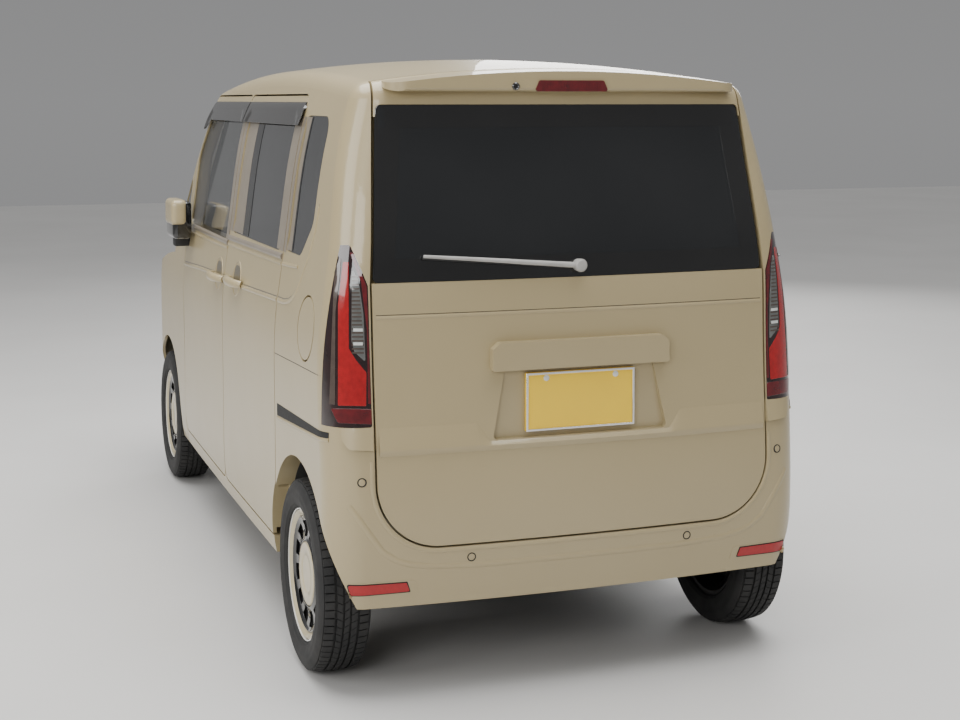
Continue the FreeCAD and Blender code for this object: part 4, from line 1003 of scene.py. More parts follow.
@dataclass
class Plates(Assembly):
    """Blank yellow plates with their raised rim, metal frame and round screw caps.

    Attributes:
        width: Width of a plate.
        height: Height of a plate.
        border: Width of the metal frame.
        cap_radius: Radius of a screw cap.
        cap_spacing: Distance between the two screw caps.
        cap_rise: Height of the caps above the plate's middle.
    """

    width: float = 0.330
    height: float = 0.165
    border: float = 0.006
    cap_radius: float = 0.0085
    cap_spacing: float = 0.210
    cap_rise: float = 0.066

    def build(self) -> None:
        """Makes the rear and the front plate's dressing."""
        rear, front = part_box("rear_plate"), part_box("front_plate")
        self._plate("rear", rear[0].x, -1.0, rear, "tailgate")
        self._plate("front", front[1].x - 0.0035, 1.0, front, "body")

    def _plate(self, place: str, face: float, way: float, box: tuple[Vector, Vector], body: str) -> None:
        """Makes one plate's frame, rim and screw caps.

        Args:
            place: Start of the pieces' names.
            face: Place of the plate's face along the car.
            way: Direction along X that it faces.
            box: The CAD plate's lowest and highest corner.
            body: The body that it rides on.
        """
        low, high = box
        middle = Vector((face, (low.y + high.y) / 2, (low.z + high.z) / 2))
        rim = 0.010
        outer = (self.width / 2 - 0.0005, self.height / 2 - 0.0005)
        frame = self._ring(middle, way, outer, self.border, 0.0006 if way > 0 else 0.0016)
        self.add(f"{place}_plate_frame", frame, CHROME, body, bevel=0.0008)
        emboss = self._ring(middle, way, (outer[0] - rim, outer[1] - rim), 0.0025, 0.0006)
        self.add(f"{place}_plate_rim", emboss, PLATE, body, slot="plate_yellow", bevel=0.0004)
        caps = []
        for side in (-1, 1):
            cap = turned(((0.0, 0.0), (0.0, self.cap_radius), (0.0016, self.cap_radius),
                          (0.0026, self.cap_radius * 0.7), (0.0030, 0.0)), 24, closed=False)
            turn = Matrix.Rotation(way * math.pi / -2, 4, "Z")
            shift = Matrix.Translation(middle + Vector((0.0, side * self.cap_spacing / 2, self.cap_rise)))
            bmesh.ops.transform(cap, matrix=shift @ turn, verts=cap.verts)
            caps.append(cap)
        self.add(f"{place}_plate_caps", joined(caps), LAMP_WHITE, body)

    def _ring(self, middle: Vector, way: float, half: tuple[float, float], band: float,
              depth: float) -> bmesh.types.BMesh:
        """A flat rectangular ring that faces along X.

        Args:
            middle: Middle of the plate's face.
            way: Direction along X that it faces.
            half: Half its outer width and height.
            band: Width of its band.
            depth: How far it stands off the face.

        Returns:
            The ring as a closed mesh.
        """
        mesh = bmesh.new()
        rows = []
        for level in (0.0, depth):
            for reach in (0.0, band):
                row = []
                for a, b in ((-1, -1), (1, -1), (1, 1), (-1, 1)):
                    row.append(mesh.verts.new(middle + Vector((way * level, a * (half[0] - reach),
                                                               b * (half[1] - reach)))))
                rows.append(row)
        for one, two in ((0, 1), (1, 3), (3, 2), (2, 0)):
            for side in range(4):
                beside = (side + 1) % 4
                mesh.faces.new([rows[one][side], rows[one][beside], rows[two][beside], rows[two][side]])
        bmesh.ops.recalc_face_normals(mesh, faces=mesh.faces)
        return mesh


@dataclass
class TailgateTrim(Assembly):
    """What the tailgate carries: glass border, high lamp, camera, wiper, ledge line and crease.

    Attributes:
        border: Width of the black border of the glass.
        groove_height: Height of the ledge line below the glass.
        crease_low: Foot of the crease.
        crease: Height of the sharp crease.
        crease_top: Top of the sloping band above the crease.
        crease_out: How far the crease stands off the panel.
        camera: Place of the small camera, across and up.
        wiper_pivot: Place of the wiper's pivot, across and up.
        wiper_end: Height of the wiper's end.
    """

    border: float = 0.062
    groove_height: float = 1.065
    crease_low: float = 0.690
    crease: float = 0.705
    crease_top: float = 0.768
    crease_out: float = 0.0075
    camera: tuple[float, float] = (0.168, 1.690)
    wiper_pivot: tuple[float, float] = (0.0, 1.189)
    wiper_end: float = 1.226

    def build(self) -> None:
        """Makes every piece that rides on the tailgate."""
        self._border()
        self._lamp()
        self._camera()
        self._wiper()
        self._groove()
        self._crease()

    def _crease(self) -> None:
        """Adds the sloping band that ends in a sharp crease below the plate."""
        skin = Skin("tailgate")
        half, recess, flank = 0.584, 0.272, 0.310
        low_top = self.crease + 0.011

        def slope(y: float, z: float) -> float:
            """Stand-off of the band: nothing at its top, most at the crease."""
            share = max(0.0, min(1.0, (abs(y) - recess) / (flank - recess)))
            top = low_top + (self.crease_top - low_top) * share
            if z < self.crease:
                rise = max(0.0, (z - self.crease_low) / (self.crease - self.crease_low))
                return self.crease_out * rise ** 0.7
            return self.crease_out * max(0.0, (top - z) / (top - self.crease))

        outline = ((-half, self.crease_low, 0.0), (half, self.crease_low, 0.0), (half, self.crease_top, 0.0),
                   (flank, self.crease_top, 0.0), (recess, low_top, 0.0), (-recess, low_top, 0.0),
                   (-flank, self.crease_top, 0.0), (-half, self.crease_top, 0.0))
        band = patch(skin, Facing.BACK, outline, 0.0002, 0.002, cell=0.0052, height=slope)
        self.add("tailgate_crease", band, PAINT, "tailgate", slot="body_paint", angle=30.0)

    def _border(self) -> None:
        """Lays the black printed border inside the edge of the rear glass."""
        low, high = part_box("tailgate_glass")
        skin = Skin("tailgate_glass")
        edge = 0.002
        top_narrow = 0.035
        bottom, top = low.z + edge, high.z - edge
        wide = high.y - edge
        narrow = wide - top_narrow

        def half(level: float) -> float:
            """Half width of the glass at a level."""
            return wide + (narrow - wide) * (level - bottom) / (top - bottom)

        bands = (
            ((-half(bottom), bottom, 0.014), (half(bottom), bottom, 0.014), (half(bottom + self.border),
             bottom + self.border, 0.0), (-half(bottom + self.border), bottom + self.border, 0.0)),
            ((-half(top - self.border), top - self.border, 0.0), (half(top - self.border),
             top - self.border, 0.0), (narrow, top, 0.014), (-narrow, top, 0.014)),
        )
        meshes = [patch(skin, Facing.BACK, band, 0.0006, 0.001, cell=0.03) for band in bands]
        side = ((half(bottom) - self.border, bottom + self.border, 0.0), (half(bottom + self.border),
                bottom + self.border, 0.0), (half(top - self.border), top - self.border, 0.0),
                (narrow - self.border, top - self.border, 0.0))
        left = patch(skin, Facing.BACK, side, 0.0006, 0.001, cell=0.03)
        meshes += [mirror(left), left]
        self.add("rear_glass_border", joined(meshes), FRIT, "tailgate", slot="glass_dark")

    def _lamp(self) -> None:
        """Gives the high lamp a ribbed red lens in its dark bezel."""
        low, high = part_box("high_mount_lamp")
        skin = Skin("high_mount_lamp")
        inset = 0.006
        bars = []
        count = 22
        width = (high.y - low.y) - 2 * inset - 0.020
        for step in range(count):
            y = low.y + inset + 0.010 + width * step / count
            corners = ((y, low.z + inset, 0.0), (y + width / count * 0.8, low.z + inset, 0.0),
                       (y + width / count * 0.8, high.z - inset, 0.0), (y, high.z - inset, 0.0))
            bars.append(patch(skin, Facing.BACK, corners, 0.0008, 0.0015, cell=0.05))
        self.add("high_lamp_lens", joined(bars), LAMP_DEEP, "tailgate", slot="lamp_red")

    def _camera(self) -> None:
        """Adds the small round camera beside the high lamp."""
        skin = Skin("tailgate")
        spot, normal = skin.meet(Facing.BACK, *self.camera)
        eye = turned(((0.0, 0.0), (0.0, 0.011), (0.004, 0.011), (0.006, 0.008), (0.004, 0.006), (0.004, 0.0)),
                     28, closed=False)
        self.add("rear_camera", placed(eye, spot - normal * 0.001, normal), GLOSS_BLACK, "tailgate")

    def _wiper(self) -> None:
        """Replaces the plain wiper by a tapered arm with its hub and a rubber blade."""
        _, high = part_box("rear_wiper")
        skin = Skin("tailgate_glass")
        pivot, end = self.wiper_pivot, (high.y - 0.012, self.wiper_end)
        spots = skin.line(Facing.BACK, pivot, end, 8, lambda share: 0.020 + 0.006 * math.sin(math.pi * share))
        arm = rod(spots, 0.0085, 10, 0.55)
        hub = turned(((-0.018, 0.0), (-0.018, 0.017), (0.006, 0.019), (0.014, 0.015), (0.016, 0.0)), 32,
                     closed=False)
        turn = Matrix.Rotation(math.pi / 2, 4, "Z")
        bmesh.ops.transform(hub, matrix=Matrix.Translation(spots[0]) @ turn, verts=hub.verts)
        self.add("rear_wiper_arm", joined([arm, hub]), WIPER_GREY, "tailgate", slot="wiper_grey",
                 replaces=("rear_wiper",), bevel=0.001)
        bare, below = 0.28, 0.004
        first = (pivot[0] + (end[0] - pivot[0]) * bare, pivot[1] + (end[1] - pivot[1]) * bare - below)
        blade = skin.line(Facing.BACK, first, (end[0], end[1] - below), 6, lambda _: 0.0075)
        self.add("rear_wiper_blade", rod(blade, 0.0055, 6), SEAL_AND_SHADE, "tailgate", slot="black_trim")

    def _groove(self) -> None:
        """Draws the shallow ledge across the tailgate below the glass, with a thin dark line of painted shade
        along it.
        """
        skin = Skin("tailgate")
        half = 0.585
        path = ((-half, self.groove_height), (half, self.groove_height))
        self.add("tailgate_ledge", ribbon(skin, Facing.BACK, path, 0.010, 0.0016), PAINT, "tailgate",
                 slot="body_paint")
        # Painted shade: a thin dark strip along the ledge's upper edge that stands for the shade of the step
        # there.
        shadow = ((-half, self.groove_height + 0.0075), (half, self.groove_height + 0.0075))
        self.add("tailgate_ledge_line", ribbon(skin, Facing.BACK, shadow, 0.0028, 0.0004), SEAL_AND_SHADE, "tailgate")


@dataclass
class RearBumperTrim(Assembly):
    """Parking sensors, red reflectors, the bumper's bevel and fold, and the ledges under the lamps.

    Attributes:
        sensors: Places of the sensors, across and up.
        sensor_sink: How deep a sensor sits in the bumper.
        reflector: Outline of the left reflector, across and up.
        recess: Outline of the recess round it.
        gate_half: Half the tailgate's width beside the bumper.
        gate_bottom: Height of the tailgate's lower edge.
        gate_corner: Radius of the tailgate's lower corners.
        seam: Height of the bumper's upper seam.
        fold: Left half of the soft fold across the bumper, across and up.
        ledge: Outline of the ledge under the left lamp in pixels.
    """

    sensors: tuple[tuple[float, float], ...] = ((0.634, 0.625), (0.329, 0.398))
    sensor_sink: float = 0.0008
    reflector: Corners = (
        (0.502, 0.315, 0.003), (0.662, 0.313, 0.004), (0.670, 0.341, 0.005), (0.512, 0.340, 0.003))
    recess: Corners = (
        (0.478, 0.307, 0.004), (0.666, 0.305, 0.006), (0.677, 0.347, 0.008), (0.486, 0.346, 0.010))
    gate_half: float = 0.594
    gate_bottom: float = 0.434
    gate_corner: float = 0.180
    seam: float = 0.691
    fold: tuple[tuple[float, float], ...] = (
        (0.668, 0.560), (0.640, 0.520), (0.618, 0.487), (0.580, 0.432), (0.540, 0.404), (0.500, 0.390),
        (0.443, 0.381), (0.300, 0.374), (0.0, 0.374))
    ledge: Corners = (
        (342.0, 440.0, 5.0), (349.5, 450.0, 7.0), (379.2, 451.0, 0.6), (376.8, 428.5, 0.6), (341.0, 428.5, 0.6))

    def build(self) -> None:
        """Makes both sides' pieces."""
        skin = Skin("rear_bumper")
        rings, eyes = [], []
        for y, z in self.sensors:
            spot, normal = skin.meet(Facing.BACK, y, z)
            seat = spot - normal * self.sensor_sink
            ring = turned(((0.0, 0.0092), (0.0016, 0.0099), (0.0018, 0.0122), (0.0, 0.0132)), 32)
            eye = turned(((0.0, 0.0), (0.0, 0.0088), (0.0014, 0.0086), (0.0020, 0.0068), (0.0021, 0.0)), 32,
                         closed=False)
            rings.append(placed(ring, seat, normal))
            eyes.append(placed(eye, seat, normal))
        ring, eye = joined(rings), joined(eyes)
        self.add("rear_sensor_rings", both(ring), SEAL_AND_SHADE, "body")
        self.add("rear_sensors", both(eye), PAINT, "body", slot="body_paint")
        hollow = patch(skin, Facing.BACK, self.recess, 0.0010, 0.002, cell=0.005)
        self.add("reflector_recesses", both(hollow), PAINT, "body", slot="body_paint",
                 bevel=0.0008)
        red = patch(skin, Facing.BACK, self.reflector, 0.0028, 0.003, cell=0.005)
        self.add("rear_reflectors", both(red), REFLECTOR_RED, "body", slot="lamp_red",
                 bevel=0.0012)
        # Painted shade: a dark rim round each reflector, where shade falls at its edge.
        shadow = patch(skin, Facing.BACK, self._grown(self.reflector, 0.003), 0.0016, 0.002, cell=0.005)
        self.add("reflector_seats", both(shadow), SEAL_AND_SHADE, "body")
        self._edges(skin)
        self._lamp_ledge()

    def _edges(self, skin: Skin) -> None:
        """Adds the bevel beside the tailgate's gap and the soft fold outside it."""
        beside = 0.0115
        reach, low, radius = self.gate_half + beside, self.gate_bottom - beside, self.gate_corner + beside
        bevel = [(reach, self.seam - 0.012), (reach, low + radius)]
        for step in range(1, 13):
            angle = math.pi / 2 * step / 12
            bevel.append((reach - radius * (1 - math.cos(angle)), low + radius * (1 - math.sin(angle))))
        for name, half, width, height in (("bumper_bevel", bevel, 0.013, 0.0028),
                                          ("bumper_fold", list(self.fold[:-1]), 0.018, 0.0024)):
            whole = half + [(-a, b) for a, b in reversed(half)]
            self.add(name, ribbon(skin, Facing.BACK, whole, width, height), PAINT, "body", slot="body_paint")

    def _lamp_ledge(self) -> None:
        """Adds the sloping ledge under each tail lamp, level with the tailgate's band."""
        skin = Skin("body_shell", "rear_bumper", "tail_lamps")
        top, foot = self.ledge[-1][1], self.ledge[2][1]

        def slope(_: float, v: float) -> float:
            """Stand-off of the ledge, most at its foot."""
            return 0.0075 * max(0.0, min(1.0, (v - top) / (foot - top)))

        plate = patch(skin, Facing.PHOTO, self.ledge, 0.0002, 0.003, cell=3.0, height=slope)
        self.add("lamp_ledges", both(plate), PAINT, "body", slot="body_paint")

    @staticmethod
    def _grown(corners: Corners, reach: float) -> Corners:
        """Moves an outline's corners away from its middle.

        Args:
            corners: The outline.
            reach: How far each corner moves along each axis.

        Returns:
            The larger outline.
        """
        middle_a = sum(corner[0] for corner in corners) / len(corners)
        middle_b = sum(corner[1] for corner in corners) / len(corners)
        return tuple((a + math.copysign(reach, a - middle_a), b + math.copysign(reach, b - middle_b), radius)
                     for a, b, radius in corners)


@dataclass
class SideTrim(Assembly):
    """Visors, handles, window frames, rail slots and the lines of the sides.

    Attributes:
        door_front: Front edge of the front door.
        split: Line between the front door and the sliding door.
        slide_rear: Rear edge of the sliding door.
        belt: Bottom of the front door's window.
        slide_belt: Bottom of the sliding door's window.
        window_top: Top of the windows.
        gap: Half the gap between panels, with a little to spare.
        film: Thickness of the pillar films.
        grip_half: Half the length of a door handle's grip.
    """

    door_front: float = 0.740
    split: float = -0.160
    slide_rear: float = -1.015
    belt: float = 1.155
    slide_belt: float = 1.190
    window_top: float = 1.606
    gap: float = 0.006
    film: float = 0.0012
    grip_half: float = 0.100

    def build(self) -> None:
        """Makes the trim of both sides."""
        door = Skin("door_front_left", "door_glass_left")
        fixed = Skin("slide_doors", "side_glass", "body_shell", "fuel_lid")
        self._films(door, fixed)
        self._mouldings(door, fixed)
        self._visors(door, fixed)
        self._handle("door_handle", door, -0.055, 1.018, True)
        self._handle("slide_handle", fixed, -0.385, 1.034, False)
        self._lines(door, fixed)
        self._rail()

    def _both(self, name: str, mesh: bmesh.types.BMesh, finish: Finish, door: bool, slot: str | None = None,
              bevel: float = 0.0) -> None:
        """Adds a left piece and its mirror image on the body, or on the two doors.

        Args:
            name: The piece's name, or its start on the doors.
            mesh: The left piece.
            finish: Its finish.
            door: Whether it rides on the front doors.
            slot: The record's material slot that it belongs to.
            bevel: Radius of its sharp edges.
        """
        if not door:
            self.add(name, both(mesh), finish, "body", slot=slot, bevel=bevel)
            return
        twin = mirror(mesh)
        self.add(name + "_left", mesh, finish, "door_left", slot=slot, bevel=bevel)
        self.add(name + "_right", twin, finish, "door_right", slot=slot, bevel=bevel)

    def _films(self, door: Skin, fixed: Skin) -> None:
        """Covers the pillars beside the windows with black bands and with taupe film, a painted reflection that
        stands for the body-coloured frames darkened by what they reflect.
        """
        split, rear = self.split, self.slide_rear
        front_low, slide_low = self.belt + 0.004, self.slide_belt + 0.004
        # The taupe strips are painted reflection: body-coloured frames, darkened as they reflect the
        # surroundings.
        strips = (
            ("door_pillar_film", door, split + 0.004, split + 0.050, front_low, FRAME_REFLECTION, True),
            ("slide_front_film", fixed, split - 0.050, split - 0.004, slide_low, FRAME_REFLECTION, False),
            ("slide_glass_film", fixed, split - 0.205, split - 0.055, slide_low, FRAME_REFLECTION, False),
            ("slide_black_band", fixed, split - 0.300, split - 0.207, slide_low, BAND, False),
            ("slide_rear_glass_film", fixed, rear + 0.055, rear + 0.112, slide_low, FRAME_REFLECTION, False),
            ("slide_rear_film", fixed, rear + 0.004, rear + 0.049, slide_low, FRAME_REFLECTION, False),
            ("quarter_front_film", fixed, rear - 0.033, rear - 0.004, slide_low, FRAME_REFLECTION, False),
            ("quarter_glass_film", fixed, rear - 0.080, rear - 0.040, slide_low + 0.008, FRAME_REFLECTION, False),
            ("quarter_black_band", fixed, rear - 0.094, rear - 0.082, slide_low + 0.008, BAND, False),
        )
        top = self.window_top - 0.004
        for name, skin, start, end, low, finish, on_door in strips:
            corners = ((start, low, 0.003), (end, low, 0.003), (end, top, 0.003), (start, top, 0.003))
            self._both(name, patch(skin, Facing.SIDE, corners, self.film, self.film, 0.04), finish, on_door)

    def _mouldings(self, door: Skin, fixed: Skin) -> None:
        """Lays the sill mouldings, taupe as a painted reflection of the body-coloured frames, and the raised
        painted belt below the windows.
        """
        # Painted reflection: the sill mouldings take the taupe tone of the frames' darker reflection.
        front_sill = ((self.split + self.gap, self.belt - 0.006), (0.610, self.belt - 0.006))
        self._both("door_sill_moulding", ribbon(door, Facing.SIDE, front_sill, 0.020, 0.006), FRAME_REFLECTION, True)
        slide_sill = ((self.slide_rear + self.gap, 1.178), (self.split - self.gap, 1.168))
        self._both("slide_sill_moulding", ribbon(fixed, Facing.SIDE, slide_sill, 0.020, 0.007), FRAME_REFLECTION, False)
        front_belt = ((self.split + self.gap, 1.131), (0.640, 1.124))
        self._both("door_belt_ridge", ribbon(door, Facing.SIDE, front_belt, 0.012, 0.0035), PAINT, True,
                   "body_paint")
        slide_belt = ((self.slide_rear + self.gap, 1.157), (self.split - self.gap, 1.146))
        self._both("slide_belt_ridge", ribbon(fixed, Facing.SIDE, slide_belt, 0.012, 0.0035), PAINT, False,
                   "body_paint")
        quarter_belt = ((-1.215, 1.166), (self.slide_rear - self.gap, 1.158))
        self._both("quarter_belt_ridge", ribbon(fixed, Facing.SIDE, quarter_belt, 0.012, 0.0035), PAINT, False,
                   "body_paint")

    def _visors(self, door: Skin, fixed: Skin) -> None:
        """Adds the smoked rain visors that stand off the tops of the windows."""
        drop, rise, out = 0.034, 0.040, 0.014
        middle = self.window_top

        def swell(_: float, level: float) -> float:
            """Stands the visor's lower edge further out than its upper edge."""
            share = (middle + rise - level) / (rise + drop)
            return out * max(0.0, min(1.0, share)) ** 0.6

        front = ((self.split + 0.006, middle - drop, 0.004), (self.door_front - 0.215, middle - drop, 0.06),
                 (self.door_front - 0.130, middle - 0.075, 0.01), (self.door_front - 0.110, middle - 0.050, 0.01),
                 (self.door_front - 0.200, middle + rise, 0.05), (self.split + 0.006, middle + rise, 0.004))
        slide = ((self.slide_rear + 0.006, middle - drop, 0.004), (self.split - 0.006, middle - drop, 0.004),
                 (self.split - 0.006, middle + rise, 0.004), (self.slide_rear + 0.006, middle + rise, 0.010))
        self._both("door_visor", patch(door, Facing.SIDE, front, 0.001, 0.003, 0.012, swell), VISOR, True,
                   bevel=0.0008)
        self._both("slide_visor", patch(fixed, Facing.SIDE, slide, 0.001, 0.003, 0.012, swell), VISOR, False,
                   bevel=0.0008)

    def _handle(self, name: str, skin: Skin, x: float, z: float, on_door: bool) -> None:
        """Adds one grip with its finger cup; the cup's upper hollow is a dark patch of painted shade.

        Args:
            name: Start of the pieces' names.
            skin: What the handle sits on.
            x: Middle of the grip along the car.
            z: Height of the grip.
            on_door: Whether it rides on the front doors.
        """
        reach, rise = 0.062, 0.058
        turns = [math.tau * step / 24 for step in range(25)]
        oval = [(x + reach * math.cos(turn), z + 0.012 + rise * math.sin(turn)) for turn in turns]
        edge = ribbon(skin, Facing.SIDE, oval, 0.007, 0.0022, step=0.03)
        self._both(name + "_cup_edge", edge, PAINT, on_door, "body_paint")
        # Painted shade: a dark patch over the cup's upper part, where its hollow lies in shade.
        above = ((x - 0.054, z + 0.004, 0.0), (x + 0.054, z + 0.004, 0.0), (x + 0.040, z + 0.056, 0.030),
                 (x - 0.040, z + 0.056, 0.030))
        self._both(name + "_cup_shade", patch(skin, Facing.SIDE, above, 0.0008, 0.001, 0.015), RECESS_SHADE, on_door)
        half = self.grip_half
        spots = skin.line(Facing.SIDE, (x - half, z), (x + half, z), 16,
                          lambda share: 0.002 + 0.030 * abs(math.sin(math.pi * share)) ** 0.55)
        grip = rod(spots, 0.0115, 16)
        for vertex in grip.verts:
            share = abs(vertex.co.x - x) / half
            vertex.co.z = z + (vertex.co.z - z) * (1.45 - 0.35 * share ** 2)
        self._both(name, grip, PAINT, on_door, "body_paint")

    def _lines(self, door: Skin, fixed: Skin) -> None:
        """Draws the character line, a dark groove of painted shade over a bright raised lip, and the seams behind
        it.
        """
        half = self.gap
        front_line = ((self.split + half, 1.035), (0.30, 1.019), (self.door_front - half, 0.998))
        slide_line = ((self.slide_rear + half, 1.057), (-0.490, 1.038), (self.split - half, 1.036))
        quarter = ((self.slide_rear - half, 1.058), (-1.100, 1.060), (-1.150, 1.067), (-1.190, 1.080),
                   (-1.230, 1.104), (-1.262, 1.140), (-1.290, 1.180), (-1.330, 1.232), (-1.358, 1.290),
                   (-1.370, 1.360))
        rows = (("door", door, front_line, True), ("slide", fixed, slide_line, False),
                ("quarter", fixed, quarter, False))
        for name, skin, line, on_door in rows:
            # Painted shade: the groove is a thin dark ribbon that stands for the shade in the crease, over a
            # raised lip that catches real light.
            self._both(name + "_line_groove", ribbon(skin, Facing.SIDE, line, 0.0050, 0.0006), RECESS_SHADE, on_door)
            lip = [(a, b - 0.0095) for a, b in line]
            self._both(name + "_line_lip", ribbon(skin, Facing.SIDE, lip, 0.015, 0.0036), PAINT, on_door,
                       "body_paint")
        seam = ((self.slide_rear - half, 0.886), (-1.300, 0.896), (-1.600, 0.905))
        self._both("quarter_seam", ribbon(fixed, Facing.SIDE, seam, 0.0035, 0.0004), SEAL_AND_SHADE, False)

    def _rail(self) -> None:
        """Adds the sliding door's rail: a dark slot of painted shade above a bright lip."""
        skin = Skin("slide_doors", "side_glass", "body_shell", "fuel_lid", "rear_bumper")
        start, end = self.slide_rear - 0.035, -1.605
        # Painted shade: the slot is a dark sheet laid on the skin where the deep channel lies in shade.
        slot = ((end, 0.739, 0.002), (start, 0.700, 0.003), (start, 0.737, 0.003), (end, 0.755, 0.002))
        self._both("rail_slot", patch(skin, Facing.SIDE, slot, 0.0010, 0.001, 0.008), SEAL_AND_SHADE, False)
        lip = ((start, 0.693), (end, 0.733))
        self._both("rail_lip", ribbon(skin, Facing.SIDE, lip, 0.012, 0.0035), PAINT, False, "body_paint")


@dataclass
class Mirrors(Assembly):
    """Folded door mirrors: painted cap, black shroud, glass and foot.

    Attributes:
        cap_low: Height of the painted cap's lower edge above the mirror's lowest point.
        cap_in: Distance of the cap's inner edge from the mirror's outer side.
        foot_length: Length of the foot.
    """

    cap_low: float = 0.090
    cap_in: float = 0.064
    foot_length: float = 0.050

    def build(self) -> None:
        """Makes both mirrors over their CAD forms."""
        low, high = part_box("mirror_left")
        inner = high.y - 0.080
        head_low = low.z + 0.040
        cap = block((low.x, high.y - self.cap_in, low.z + self.cap_low), high, 0.026, 5)
        shroud = block((low.x + 0.004, inner, head_low), (high.x - 0.004, high.y - 0.005, high.z - 0.006),
                       0.020, 4)
        foot_end = high.x - 0.012
        foot = block((foot_end - self.foot_length, inner - 0.014, low.z),
                     (foot_end, high.y - 0.028, low.z + 0.060), 0.010, 3)
        glass = block((low.x + 0.022, inner - 0.0005, head_low + 0.018), (high.x - 0.030, inner + 0.006,
                      high.z - 0.022), 0.0018, 2)
        for hand in Hand:
            body = "door_" + hand.word
            parts = (("cap", cap, PAINT, "body_paint"), ("shroud", shroud, GLOSS_BLACK, "black_trim"),
                     ("foot", foot, TRIM, "black_trim"), ("glass", glass, CHROME, None))
            for name, mesh, finish, slot in parts:
                made = mirror(mesh) if hand is Hand.RIGHT else mesh.copy()
                replaced = ("mirror_" + hand.word,) if name == "cap" else ()
                self.add(f"mirror_{name}_{hand.word}", made, finish, body, slot=slot, replaces=replaced)


